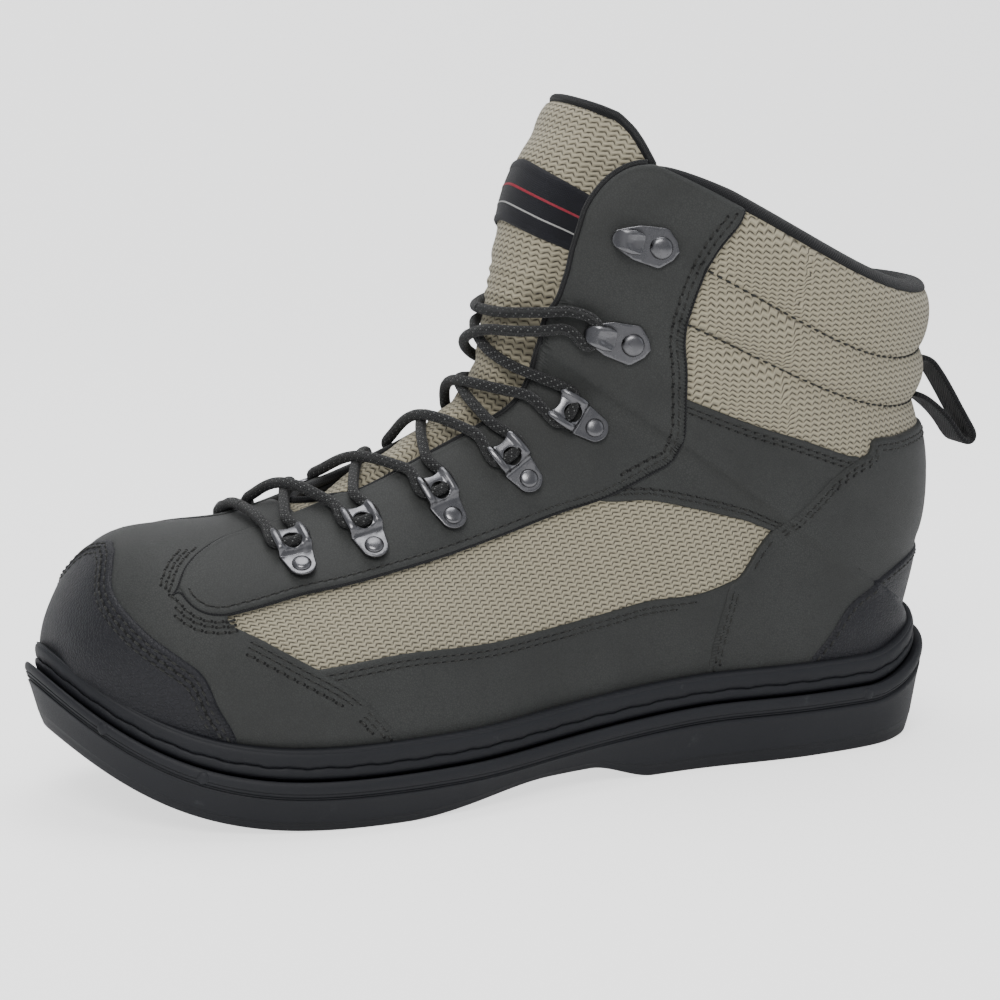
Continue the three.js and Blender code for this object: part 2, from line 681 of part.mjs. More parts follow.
// The strip of vamp that runs up between the facings: half widths across, as shares of ballWidth.
const vampStrip = [
  { along: 0.69, across: 0.1 },
  { along: 0.79, across: 0.1 },
  { along: 0.816, across: 0.124 },
  { along: 0.853, across: 0.19 },
  { along: 0.871, across: 0.231 },
  { along: 0.883, across: 0.273 },
  { along: 0.92, across: 0.372 },
];
function stripPrism(by) {
  const far = [...vampStrip].reverse().map((p) => ({ along: p.along, across: -p.across }));
  const corners = [...vampStrip, ...far];
  const outline = corners.map((p) => new THREE.Vector2(heelX - p.along * soleLength, p.across * ballWidth));
  const shape = new THREE.Shape(grown(outline, by));
  return solid(new THREE.ExtrudeGeometry(shape, { depth: 2 * upperHeight, bevelEnabled: false }));
}

// The panels are cut from two slabs that follow the upper and thin out behind the welt, each panel out of the way
// of the ones over it.
function panelSlabOf(thick) {
  const thinned = (turn) => clearance + thick * (1 - 0.7 * ramp(1.2, 1.75, turn));
  return formSlab((row, turn) => puffAt(row, turn) + clearance, (row, turn) => puffAt(row, turn) + thinned(turn));
}
const panelSlab = panelSlabOf(panelThick);
const capSlab = panelSlabOf(capThick);
const toeZone = [...toeCapSeam, belowToe, aboveToe];
const guardZone = [guardTop, ...guardSeam, belowHeel];
const vampZone = [...vampSeam, aboveToe, belowToe];
const counterZone = [aboveHeel, ...counterSeam, belowHeel];
const facingZone = [overBack, ...facingEdge, overFront];
const sideZone = [...sidePanelEdge, ...underArch];
const facingCutter = sidePrism(facingZone, clearance).subtract(stripPrism(-clearance));
const vampCutter = sidePrism(vampZone, clearance);
const counterCutter = sidePrism(counterZone, clearance);

function addPanel(name, slab, zone, hand, cutters, material) {
  const cut = wasm.Manifold.union(cutters);
  add(name, geometryOf(mainPiece(slab.intersect(sidePrism(zone, 0, hand)).subtract(cut))), material);
}
addPanel("toe_cap", capSlab, toeZone, 0, [throat], capLeather);
addPanel("heel_guard", capSlab, guardZone, 0, [throat], capLeather);
addPanel("vamp_panel", panelSlab, vampZone, 0, [sidePrism(toeZone, clearance), facingCutter, throat], leather);
addPanel("counter_panel", panelSlab, counterZone, 0, [sidePrism(guardZone, clearance)], leather);
for (const [hand, place] of [[-1, "outer"], [1, "inner"]]) {
  addPanel(`facing_${place}`, panelSlab, facingZone, hand, [stripPrism(0), throat], leather);
  addPanel(`side_panel_${place}`, panelSlab, sideZone, hand, [vampCutter, counterCutter], leather);
  addPanel(`ankle_panel_${place}`, panelSlab, anklePanelEdge, hand, [facingCutter, counterCutter], leather);
}

// The pull loop at the back: a strap from one place on the collar's padding out, down and back to another, in the
// side view. out and up are shares of strapReach from the middle of its foot.
const strapReach = 27;
const strapOuter = [
  { out: 0, up: 0.3 },
  { out: 0.33, up: 0.07 },
  { out: 0.7, up: -0.42 },
  { out: 1, up: -0.8 },
  { out: 0.97, up: -0.86 },
  { out: 0.78, up: -0.8 },
  { out: 0.4, up: -0.52 },
  { out: 0, up: -0.28 },
];
const strapInner = [
  { out: 0.07, up: -0.18 },
  { out: 0.4, up: -0.41 },
  { out: 0.78, up: -0.68 },
  { out: 0.62, up: -0.43 },
  { out: 0.27, up: 0.02 },
  { out: 0.07, up: 0.17 },
];
const strapFoot = skin(14.3, -1, 2, padPuff + 2 * clearance);
const strapPoint = (p) => new THREE.Vector2(strapFoot.x + p.out * strapReach, strapFoot.z + p.up * strapReach);
const strapShape = new THREE.Shape(strapOuter.map(strapPoint));
strapShape.holes.push(new THREE.Path(strapInner.map(strapPoint)));
const strap = new THREE.ExtrudeGeometry(strapShape, { depth: strapWidth, bevelEnabled: false });
strap.rotateX(Math.PI / 2);
strap.translate(0, strapFoot.y + strapWidth / 2, 0);
add("pull_loop", geometryOf(solid(strap)), webbing);

// Places for the lacing hardware, from the toe up: row and turn on the form. sink is how much closer than the others
// a plate is set, a share of panelThick, as the facing falls away under it.
const loopPlaces = [
  { row: 5.2, turn: 0.28, sink: 0 },
  { row: 5.9, turn: 0.35, sink: 0.42 },
  { row: 6.9, turn: 0.41, sink: 0.08 },
  { row: 8.1, turn: 0.45, sink: -0.22 },
  { row: 9.8, turn: 0.49, sink: 0.36 },
];
const hookPlaces = [
  { row: 12.35, turn: 0.52, sink: 0.74 },
  { row: 15.0, turn: 0.56, sink: 1.06 },
];
const sheetTop = clearance + panelThick;
const plateOut = sheetTop + 3 * clearance;

// Stands a geometry on the boot: its x points to the ridge, its z out of the surface.
function standing(geometry, place, hand) {
  const out = plateOut - place.sink * panelThick;
  const normal = formNormal(place.row, hand, place.turn);
  const step = 0.02;
  const up = skin(place.row, hand, place.turn - step, 0).sub(skin(place.row, hand, place.turn + step, 0));
  up.addScaledVector(normal, -up.dot(normal)).normalize();
  const turned = new THREE.Matrix4().makeBasis(up, normal.clone().cross(up), normal);
  turned.setPosition(skin(place.row, hand, place.turn, out));
  return geometry.clone().applyMatrix4(turned);
}

// A bent metal strip: its profile, a list of [x, z], carried across and then cut to a plan, a list of [x, y].
function bentPlate(profile, plan, width, height) {
  const strip = new THREE.ExtrudeGeometry(
    new THREE.Shape(profile.map(([x, z]) => new THREE.Vector2(x, z))),
    { depth: width, bevelEnabled: false },
  );
  strip.rotateX(Math.PI / 2);
  strip.translate(0, width / 2, 0);
  const near = plan.map(([x, y]) => new THREE.Vector2(x, y));
  const far = [...plan].reverse().map(([x, y]) => new THREE.Vector2(x, -y));
  const outline = new THREE.Shape([...near, ...far]);
  const cutter = new THREE.ExtrudeGeometry(outline, { depth: 2 * height, bevelEnabled: false });
  cutter.translate(0, 0, -height / 2);
  return geometryOf(solid(strip).intersect(solid(cutter)));
}
const arc = (radius, middle, angles) =>
  angles.map((a) => [middle[0] + radius * Math.cos(a), middle[1] + radius * Math.sin(a)]);
const overArch = [0, 0.33, 0.67, 1].map((t) => t * Math.PI);
const loopBack = -loopReach - rivetRadius;
const loopFront = archRadius + 2 * metal;
const loopProfile = [
  [loopBack, 0],
  [-loopBore, 0],
  ...arc(loopBore, [0, metal], [...overArch].reverse()),
  [loopBore, 0],
  [loopFront, 0],
  [loopFront, metal],
  ...arc(archRadius, [0, metal], overArch),
  [loopBack, metal],
];
const loopPlan = [
  [loopBack, 0.14 * loopWidth],
  [loopBack + 0.25 * loopReach, 0.32 * loopWidth],
  [-archRadius, 0.48 * loopWidth],
  [archRadius, 0.5 * loopWidth],
  [loopFront, 0.3 * loopWidth],
];
const loopMetal = bentPlate(loopProfile, loopPlan, 2 * loopWidth, 3 * archRadius);

const bend = metal + hookMouth / 2;
const bendAt = hookNose - bend;
const roundNose = [-0.5, -0.25, 0, 0.25, 0.5].map((t) => t * Math.PI);
const hookProfile = [
  [-hookTail - rivetRadius, 0],
  ...arc(bend, [bendAt, bend], roundNose),
  [-0.15 * hookTail, 2 * bend],
  [-0.15 * hookTail, 2 * bend - metal],
  ...arc(bend - metal, [bendAt, bend], [...roundNose].reverse()),
  [-hookTail - rivetRadius, metal],
];
const hookPlan = [
  [-hookTail - rivetRadius, 0.12 * hookWidth],
  [-hookTail, 0.36 * hookWidth],
  [0, 0.5 * hookWidth],
  [bendAt, 0.36 * hookWidth],
  [hookNose + metal, 0.22 * hookWidth],
];
const hookMetal = bentPlate(hookProfile, hookPlan, 2 * hookWidth, 4 * bend);

const rivetProfile = [
  [0, 0],
  [rivetRadius, 0],
  [rivetRadius, 0.4 * rivetHeight],
  [0.62 * rivetRadius, rivetHeight],
  [0, rivetHeight],
].map(([x, y]) => new THREE.Vector2(x, y));
function rivetHead(x) {
  const head = new THREE.LatheGeometry(rivetProfile, 7);
  head.rotateX(Math.PI / 2);
  head.translate(x, 0, metal + clearance);
  return geometryOf(solid(head));
}
const loopRivet = rivetHead(-loopReach);
const hookRivet = rivetHead(-0.8 * hookTail);
for (const [hand, place] of [[-1, "outer"], [1, "inner"]]) {
  loopPlaces.forEach((at, i) => {
    add(`lace_loop_${place}_${i + 1}`, standing(loopMetal, at, hand), gunmetal);
    add(`loop_rivet_${place}_${i + 1}`, standing(loopRivet, at, hand), gunmetal);
  });
  hookPlaces.forEach((at, i) => {
    add(`lace_hook_${place}_${i + 1}`, standing(hookMetal, at, hand), gunmetal);
    add(`hook_rivet_${place}_${i + 1}`, standing(hookRivet, at, hand), gunmetal);
  });
}

// The lace where it lies over the tongue: a bar, crossings and another bar, all short of the metal. from and to are
// places of hardware, step the side of each that the lace is on, towards the toe or the leg, lift how much higher
// the cord goes at the ridge, and sag how many rows it hangs down there.
const corner = [0, 1, 2, 3, 4, 5].map((i) => (i * Math.PI) / 3);
const laceSection = new THREE.Shape(arc(laceWidth / 2, [0, 0], corner).map(([x, y]) => new THREE.Vector2(x, y)));
function beside(place, step) {
  const at = (row) => skin(row, -1, place.turn, 0);
  const rowLength = at(place.row + 0.1).distanceTo(at(place.row - 0.1)) / 0.2;
  const row = place.row + (0.34 * step * loopWidth) / rowLength;
  return { row, turn: place.turn - 0.12, sink: place.sink * panelThick };
}
function strand(from, to, hand, lift, sag) {
  const points = [-1, -0.55, 0, 0.55, 1].map((t) => {
    const row = from.row + ((to.row - from.row) * (t + 1)) / 2 - sag * (1 - t * t);
    const end = t < 0 ? from : to;
    const turn = Math.abs(t) * end.turn;
    const onSheet = Math.max(t * t, 1 - ramp(5.6, 6.3, row));
    const out = laceWidth / 2 + 4 * clearance + sheetTop * onSheet + lift * (1 - t * t) - end.sink * t * t;
    return skin(row, t < 0 ? hand : -hand, turn, out);
  });
  const path = new THREE.CatmullRomCurve3(points);
  return solid(new THREE.ExtrudeGeometry(laceSection, { steps: 6, bevelEnabled: false, extrudePath: path }));
}
const lacePlaces = [...loopPlaces, hookPlaces[0]];
const laceSag = [0, 0, 0, 0.25, 0.85];
function addBar(name, place, step, sag) {
  const end = beside(place, step);
  add(name, geometryOf(strand(end, end, -1, 0, sag)), cord);
}
addBar("lace_bar_1", lacePlaces[0], -1, 0);
for (let k = 0; k + 1 < lacePlaces.length; k++) {
  const from = beside(lacePlaces[k], 1);
  const to = beside(lacePlaces[k + 1], -1);
  const under = strand(from, to, -1, 0, laceSag[k]);
  const over = strand(from, to, 1, 0.6 * laceWidth, laceSag[k]);
  add(`lace_cross_${k + 1}`, geometryOf(under.add(over)), cord);
}
addBar("lace_bar_top", hookPlaces[0], 1, 1.6);

// The origin is on the floor, under the middle of the boot's box.
const box = new THREE.Box3().setFromObject(root);
root.position.set(-(box.min.x + box.max.x) / 2, -(box.min.y + box.max.y) / 2, -box.min.z);

export default root;
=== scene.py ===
"""A left wading boot: knitted mesh upper with stitched leather panels, laced through metal loops and hooks, on a
cupped rubber sole. Every piece is built on the form of the boot's last, in metres, in the frame of the solids."""

import math
from functools import cache

import bmesh
import bpy
import numpy as np
from bpy.props import FloatProperty, FloatVectorProperty, PointerProperty
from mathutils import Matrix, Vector
from mathutils.geometry import delaunay_2d_cdt
from mathutils.kdtree import KDTree


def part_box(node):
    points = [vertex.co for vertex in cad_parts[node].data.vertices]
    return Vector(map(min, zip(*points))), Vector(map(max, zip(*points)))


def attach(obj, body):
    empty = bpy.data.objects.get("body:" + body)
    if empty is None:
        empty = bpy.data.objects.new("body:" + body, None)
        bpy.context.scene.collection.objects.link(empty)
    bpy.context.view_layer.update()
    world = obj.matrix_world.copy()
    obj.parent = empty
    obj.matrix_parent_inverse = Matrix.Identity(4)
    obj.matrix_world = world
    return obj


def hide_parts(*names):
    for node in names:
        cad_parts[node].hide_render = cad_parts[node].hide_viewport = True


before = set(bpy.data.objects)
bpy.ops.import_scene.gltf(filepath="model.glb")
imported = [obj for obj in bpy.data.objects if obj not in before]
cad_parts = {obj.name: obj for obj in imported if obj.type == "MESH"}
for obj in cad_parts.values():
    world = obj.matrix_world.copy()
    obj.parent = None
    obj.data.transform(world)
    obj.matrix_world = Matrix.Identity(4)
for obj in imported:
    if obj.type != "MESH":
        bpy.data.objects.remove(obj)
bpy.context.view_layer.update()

bl_info = {
    "name": "Wading boot",
    "version": (1, 0, 0),
    "blender": (4, 5, 0),
    "location": "3D View > Sidebar > Wading boot",
    "description": "Builds a laced wading boot piece by piece",
    "category": "Object",
}

BODY = "root"


# Sizes


def length_of(name, description, default):
    return FloatProperty(name=name, description=description, default=default, unit="LENGTH")


def colour_of(name, description, default):
    return FloatVectorProperty(name=name, description=description, subtype="COLOR", default=default)


class BootSizes(bpy.types.PropertyGroup):
    sole_length: length_of("Sole length", "Heel to toe", 0.326)
    ball_width: length_of("Ball width", "Widest across the sole", 0.121)
    upper_height: length_of("Upper height", "Scale of the upper", 0.18)
    feather: length_of("Feather", "Sole edge to the upper", 0.0082)
    outsole_thick: length_of("Outsole", "Outsole thickness", 0.0125)
    lip_thick: length_of("Lip", "Height of the rounded lip", 0.0045)
    welt_thick: length_of("Welt", "Height of the ribbed welt", 0.0105)
    rim_depth: length_of("Rim", "Depth of the cup round the upper", 0.003)
    heel_raise: length_of("Heel raise", "Heel over ball", 0.0062)
    heel_kick: length_of("Heel kick", "Upturn of the layers behind", 0.013)
    toe_spring: length_of("Toe spring", "Upturn of the toe", 0.033)
    arch_rise: length_of("Arch", "Waist over the floor", 0.006)
    wall: length_of("Wall", "Thickness of the upper", 0.0026)
    collar_wall: length_of("Collar wall", "Padding at the collar", 0.007)
    puff: length_of("Puff", "How far the quilted rolls stand out", 0.0034)
    tongue_thick: length_of("Tongue", "Tongue thickness", 0.005)
    lace_width: length_of("Lace", "Lace diameter", 0.0037)


class BootStitches(bpy.types.PropertyGroup):
    pitch: length_of("Pitch", "From stitch to stitch", 0.0034)
    length: length_of("Length", "Thread shown of each", 0.0021)
    thread: length_of("Thread", "Thread thickness", 0.0007)


class BootColours(bpy.types.PropertyGroup):
    knit: colour_of("Knit", "Mesh cloth", (0.4, 0.362, 0.262))
    # Colour of the knit's holes, laid also as painted shade in the gaps between its rows.
    knit_hole_shade: colour_of("Knit hole shade", "Between the knit's rows", (0.07, 0.06, 0.04))
    leather: colour_of("Leather", "Panels", (0.033, 0.035, 0.0335))
    cap: colour_of("Caps", "Toe cap, heel guard", (0.012, 0.0125, 0.017))
    rubber: colour_of("Rubber", "Sole", (0.0115, 0.0125, 0.016))
    metal: colour_of("Metal", "Hardware", (0.19, 0.19, 0.2))
    lining: colour_of("Lining", "Lining, binding", (0.009, 0.0095, 0.011))
    lace: colour_of("Lace", "Cord", (0.017, 0.0175, 0.018))
    fleck: colour_of("Fleck", "Flecks of the cord", (0.2, 0.205, 0.2))
    thread: colour_of("Thread", "Stitching", (0.05, 0.051, 0.047))
    stripe: colour_of("Stripe", "Stripes of the patch", (0.33, 0.02, 0.04))


def sizes():
    return bpy.context.scene.boot_sizes


def stitches():
    return bpy.context.scene.boot_stitches


def colours():
    return bpy.context.scene.boot_colours


# The last: the same tables as the solids', as shares of the sizes

SOLE_OUTLINE = np.array([
    (0.0, 0.0), (0.017, -0.19), (0.07, -0.32), (0.18, -0.375), (0.33, -0.365), (0.46, -0.4),
    (0.6, -0.485), (0.71, -0.51), (0.82, -0.465), (0.915, -0.345), (0.975, -0.17), (1.0, 0.04),
    (0.983, 0.23), (0.93, 0.375), (0.84, 0.465), (0.74, 0.49), (0.62, 0.45), (0.48, 0.345),
    (0.35, 0.305), (0.19, 0.34), (0.075, 0.305), (0.018, 0.185),
])
SIDE_COLUMNS = ("ridge_along", "ridge_up", "base_along", "base_up")
SIDE_ROWS = np.array([
    (0.974, 0, 0.974, 0),
    (0.963, 0.102, 0.94, 0),
    (0.933, 0.233, 0.898, 0),
    (0.898, 0.309, 0.85, 0),
    (0.848, 0.349, 0.787, 0),
    (0.776, 0.375, 0.702, 0),
    (0.683, 0.436, 0.597, 0),
    (0.606, 0.503, 0.477, 0),
    (0.553, 0.567, 0.347, 0),
    (0.528, 0.617, 0.207, 0),
    (0.517, 0.68, 0.088, 0),
    (0.512, 0.736, 0.025, 0),
    (0.508, 0.775, 0.0045, 0.15),
    (0.504, 0.808, 0.005, 0.3),
    (0.499, 0.847, 0.011, 0.445),
    (0.484, 0.964, 0.005, 0.55),
    (0.448, 1.086, 0.003, 0.664),
])
GIRTH_COLUMNS = ("swell", "shaft", "leg", "wide", "crown", "centre", "gap", "dip")
GIRTH_ROWS = np.array([
    (0, 0.34, 0, 0.3, 2, 0.035, 0.1, 0),
    (0.006, 0.34, 0, 0.3, 2.1, 0.035, 0.1, 0),
    (0.01, 0.34, 0, 0.3, 2.2, 0.03, 0.1, 0),
    (0.01, 0.34, 0, 0.28, 2.3, 0.025, 0.1, 0),
    (0.008, 0.34, 0, 0.26, 2.2, 0.015, 0.1, 0),
    (0.004, 0.34, 0, 0.24, 2.1, 0.005, 0.1, 0),
    (0, 0.34, 0, 0.22, 2, 0, 0.19, 0),
    (0.004, 0.34, 0, 0.22, 1.95, 0, 0.225, 0),
    (0.012, 0.335, 0, 0.24, 1.95, 0, 0.27, 0),
    (0.02, 0.335, 0.15, 0.3, 1.95, 0, 0.3, 0),
    (0.02, 0.335, 0.55, 0.36, 1.95, 0, 0.32, 0),
    (0, 0.335, 1, 0.42, 1.95, 0, 0.33, 0),
    (0, 0.335, 1, 0.43, 1.95, 0, 0.335, 0),
    (0, 0.335, 1, 0.44, 1.95, 0, 0.37, 0.01),
    (0, 0.345, 1, 0.45, 2, 0, 0.39, 0.055),
    (0, 0.36, 1, 0.45, 2, 0, 0.41, 0.07),
    (0, 0.37, 1, 0.46, 2, 0, 0.52, 0.049),
])
SIDE = dict(zip(SIDE_COLUMNS, SIDE_ROWS.T))
GIRTH = dict(zip(GIRTH_COLUMNS, GIRTH_ROWS.T))
COLLAR_ROW = len(SIDE_ROWS) - 1
BACK_ROW = 11
THROAT_ROW = 5.55


def through(values, position, corner=None):
    """A smooth value through evenly spaced key values, straight on past the last."""
    position = np.asarray(position, float)
    last = len(values) - 1
    index = np.clip(np.floor(position).astype(int), 0, last - 1)
    t = position - index
    start, end = values[index], values[index + 1]
    before = np.where(index == corner, start, values[np.maximum(index - 1, 0)])
    after = np.where(index + 1 == corner, end, values[np.minimum(index + 2, last)])
    first, second = (end - before) / 2, (after - start) / 2
    smooth = (
        (2 * t**3 - 3 * t**2 + 1) * start
        + (t**3 - 2 * t**2 + t) * first
        + (3 * t**2 - 2 * t**3) * end
        + (t**3 - t**2) * second
    )
    return np.where(t > 1, end + (end - start) * (t - 1), smooth)


def ramp(low, high, at):
    """A smooth step from 0 to 1 between two places."""
    t = np.clip((np.asarray(at, float) - low) / (high - low), 0, 1)
    return t * t * (3 - 2 * t)


def unit(ways):
    """Directions made one long."""
    return ways / np.maximum(np.linalg.norm(ways, axis=-1), 1e-9)[..., None]


def lengths(path):
    """How far along a polyline each of its points is."""
    return np.concatenate([[0], np.cumsum(np.linalg.norm(np.diff(path, axis=0), axis=1))])


def at_steps(at, steps, values):
    """Columns of values read at places along a line."""
    return np.column_stack([np.interp(at, steps, column) for column in values.T])


def tree_of(points):
    """A search tree over points."""
    tree = KDTree(len(points))
    for i, p in enumerate(points):
        tree.insert(p, i)
    tree.balance()
    return tree


def apart(tree, points):
    """Distance from each point to the nearest one of a search tree."""
    return np.array([tree.find(p)[2] for p in points])


def swept(loop):
    """Twice the area that a closed line in a plane runs round, below 0 if it runs clockwise."""
    return (loop[:, 0] * np.roll(loop[:, 1], -1) - np.roll(loop[:, 0], -1) * loop[:, 1]).sum()


def span(points, t):
    """The middle span of a centripetal spline through four points, and its tangents."""
    p0, p1, p2, p3 = points
    d0, d1, d2 = (max(np.linalg.norm(b - a) ** 0.5, 1e-9) for a, b in ((p0, p1), (p1, p2), (p2, p3)))
    m1 = ((p1 - p0) / d0 - (p2 - p0) / (d0 + d1) + (p2 - p1) / d1) * d1
    m2 = ((p2 - p1) / d1 - (p3 - p1) / (d1 + d2) + (p3 - p2) / d2) * d1
    a, b = -3 * p1 + 3 * p2 - 2 * m1 - m2, 2 * p1 - 2 * p2 + m1 + m2
    return p1 + m1 * t + a * t**2 + b * t**3, m1 + 2 * a * t + 3 * b * t**2


def closed_spline(points, per_span):
    """A closed spline through points, and its tangents."""
    t = np.linspace(0, 1, per_span, endpoint=False)[:, None]
    count = len(points)
    spans = [span([points[(i + k - 1) % count] for k in range(4)], t) for i in range(count)]
    spots, tangents = (np.vstack(part) for part in zip(*spans))
    return spots, unit(tangents)


def even(points, count, other):
    """Points spread evenly round a closed polyline, with another value for each."""
    steps = lengths(np.vstack([points, points[:1]]))
    at = np.linspace(0, steps[-1], count, endpoint=False)
    return [at_steps(at, steps, np.vstack([v, v[:1]])) for v in (points, other)]


class Last:
    """The boot's last and the levels of its sole, for the current sizes."""

    def __init__(self):
        s = sizes()
        self.length, self.width, self.height = s.sole_length, s.ball_width, s.upper_height
        self.welt_bottom = s.outsole_thick + s.lip_thick
        self.welt_top = self.welt_bottom + s.welt_thick
        self.seat = self.welt_top - s.rim_depth
        self.gap = 0.0006
        spots, tangents = closed_spline(SOLE_OUTLINE * (self.length, self.width), 60)
        self.spots, self.tangents = even(spots, 1600, tangents)
        seat = self.ring(1600, s.feather)
        tip, back = np.argmax(seat[:, 0]), np.argmin(seat[:, 0])
        seat = np.roll(seat, -back, axis=0)
        tip = (tip - back) % len(seat)
        self.outer, self.inner = seat[: tip + 1], seat[tip:][::-1]
        self.seat_back, self.seat_tip = seat[0, 0], seat[tip, 0]
        low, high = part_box("outsole")
        self.heel_x = high.x + self.spots[:, 0].min()
        self.middle_y = low.y - self.spots[:, 1].min()

    def ring(self, count, inset):
        """Points round the sole, moved inwards, as along and across."""
        spots, tangents = even(self.spots, count, self.tangents)
        tangents = unit(tangents)
        return spots + np.column_stack([-tangents[:, 1], tangents[:, 0]]) * np.asarray(inset).reshape(-1, 1)

    def place(self, along, across, up):
        return np.stack(np.broadcast_arrays(self.heel_x - along, self.middle_y + across, up), axis=-1)

    def spring(self, along):
        start = 0.68 * self.length
        return sizes().toe_spring * (np.maximum(along - start, 0) / (self.length - start)) ** 3.4

    def bottom(self, along):
        heel = ramp(0.37 * self.length, 0.45 * self.length, along)
        ball = 1 - ramp(0.5 * self.length, 0.67 * self.length, along)
        return sizes().arch_rise * heel * ball + self.spring(along)

    def layer(self, along, level):
        kick = 0.11 * self.length
        lifted = sizes().heel_raise * (1 - ramp(0.27 * self.length, 0.62 * self.length, along))
        kicked = sizes().heel_kick * (np.maximum(kick - along, 0) / kick) ** 1.5
        return level + lifted + kicked + self.spring(along)

    def form(self, row, turn):
        """Points on the last. row goes from toe to collar; turn from -2 at the outer base over 0 at the ridge to 2."""
        row, turn = np.broadcast_arrays(np.asarray(row, float), np.asarray(turn, float))
        hand = np.where(turn < 0, -1.0, 1.0)
        t = np.abs(turn)
        side = {name: through(SIDE[name], row, BACK_ROW) for name in SIDE_COLUMNS}
        girth = {name: through(GIRTH[name], row, BACK_ROW) for name in GIRTH_COLUMNS}
        on_seat = row < BACK_ROW
        base = side["base_along"] * self.length
        base = np.where(on_seat, np.maximum(base, self.seat_back), base)
        edge_at = np.clip(base, self.seat_back + 1e-5, self.seat_tip - 1e-5)
        outer = np.interp(edge_at, self.outer[:, 0], self.outer[:, 1])
        inner = np.interp(edge_at, self.inner[:, 0], self.inner[:, 1])
        middle = girth["centre"] * self.width
        foot = np.where(on_seat, np.maximum(hand * (np.where(hand < 0, outer, inner) - middle), 0), 0)
        leg = np.clip(girth["leg"], 0, 1)
        widest = (foot + girth["swell"] * self.width) * (1 - leg) + girth["shaft"] * self.width * leg
        base_up = np.where(
            on_seat,
            self.layer(base, self.seat),
            self.layer(self.seat_back, self.seat) + side["base_up"] * self.height,
        )
        ridge = side["ridge_along"] * self.length
        ridge_up = self.seat + self.spring(ridge) + side["ridge_up"] * self.height
        wide, power = girth["wide"], 2 / girth["crown"]
        angle = np.minimum(t, 1) * np.pi / 2
        over = wide + (1 - wide) * np.abs(np.cos(angle)) ** power
        over_across = widest * np.abs(np.sin(angle)) ** power
        down = np.maximum(t - 1, 0)
        fall = down * np.pi / 2
        under = wide * (1 - down * (1 - leg) - np.sin(fall) * leg)
        under_across = foot + (widest - foot) * ((1 - down**2) * (1 - leg) + np.cos(fall) * leg)
        share = np.where(t <= 1, over, under)
        across = np.where(t <= 1, over_across, under_across)
        sag = girth["dip"] * self.height * np.sin(np.pi * np.maximum(share, 0) ** 0.55) ** 2
        up = base_up + (ridge_up - base_up) * share - sag
        return self.place(base + (ridge - base) * share, middle + hand * across, up)

    def normal(self, row, turn):
        row, turn = np.broadcast_arrays(np.asarray(row, float), np.asarray(turn, float))
        shared = (np.abs(turn) < 1e-6) | ((np.abs(turn) > 2 - 1e-6) & (row >= BACK_ROW))
        hand = np.where((turn < 0) | shared, -1.0, 1.0)
        step = 0.02
        r = np.maximum(row, 0.06)
        t = np.clip(np.abs(turn), step, 2 - step)
        by_row = self.form(r + step, hand * t) - self.form(r - step, hand * t)
        by_turn = self.form(r, hand * (t + step)) - self.form(r, hand * (t - step))
        out = np.cross(by_turn, by_row) * -hand[..., None]
        out[..., 1] = np.where(shared, 0, out[..., 1])
        return unit(out)

    def skin(self, row, turn, out):
        """Points at a distance out of the last, kept over the sole's seat."""
        point = self.form(row, turn) + self.normal(row, turn) * np.asarray(out)[..., None]
        row, turn = np.broadcast_arrays(row, turn)
        floor = self.layer(self.heel_x - point[..., 0], self.seat) + self.gap
        low = np.where(np.abs(turn) > 2 - 1e-6, floor, np.maximum(point[..., 2], floor))
        point[..., 2] = np.where(row <= BACK_ROW, low, point[..., 2])
        return point

    def slopes(self, row, turn):
        """How the last moves with row and with turn."""
        step = 0.01
        by_row = (self.form(row + step, turn) - self.form(row - step, turn)) / (2 * step)
        by_turn = (self.form(row, turn + step) - self.form(row, turn - step)) / (2 * step)
        return by_row, by_turn

    def locate(self, along, up):
        """Rows and turns where places of the side view fall, along and up in metres."""
        if not hasattr(self, "table"):
            rows, turns = np.meshgrid(np.arange(0.05, COLLAR_ROW + 1.2, 0.08), np.arange(0, 2.001, 0.03), indexing="ij")
            spots = self.form(rows, -turns)
            self.table = rows.ravel(), turns.ravel()
            self.tree = tree_of([(x, z, 0) for x, _, z in spots.reshape(-1, 3)])
        x = self.heel_x - np.asarray(along)
        found = [self.tree.find((a, b, 0))[1] for a, b in zip(x, up)]
        row, turn = self.table[0][found].copy(), self.table[1][found].copy()
        for _ in range(8):
            here = self.form(row, -turn)
            miss = np.column_stack([x - here[:, 0], up - here[:, 2]])
            by_row, by_turn = (way[:, (0, 2)] for way in self.slopes(row, -turn))
            by_turn = -by_turn
            det = by_row[:, 0] * by_turn[:, 1] - by_row[:, 1] * by_turn[:, 0]
            det = np.where(np.abs(det) < 1e-8, 1e-8, det)
            d_row = (miss[:, 0] * by_turn[:, 1] - miss[:, 1] * by_turn[:, 0]) / det
            d_turn = (by_row[:, 0] * miss[:, 1] - by_row[:, 1] * miss[:, 0]) / det
            row = np.clip(row + np.clip(d_row, -0.3, 0.3), 0, COLLAR_ROW + 1.2)
            turn = np.clip(turn + np.clip(d_turn, -0.1, 0.1), 0, 2)
        return row, turn

    def throat(self, row):
        """Half the throat's opening as a turn, with a round end over the forefoot."""
        row = np.asarray(row, float)
        gap = through(GIRTH["gap"], row) * np.sqrt(np.clip((row - THROAT_ROW) / 0.5, 0, 1))
        corner = 0.4 + 0.3 * (1 - np.sqrt(1 - np.clip((row - 15) / 1.17, 0, 0.999) ** 2))
        return gap + (corner - gap) * ramp(14.4, 15, row)

    def padding(self, row, turn):
        """How far the quilted rolls stand out."""
        row = np.asarray(row, float)
        inside = (row > 12) & (row < COLLAR_ROW)
        roll = np.abs(np.sin(np.pi * np.where(row < 14, (row - 12) / 2, row))) ** 0.7
        return np.where(inside, sizes().puff * roll * ramp(0.62, 0.85, np.abs(turn)), 0)

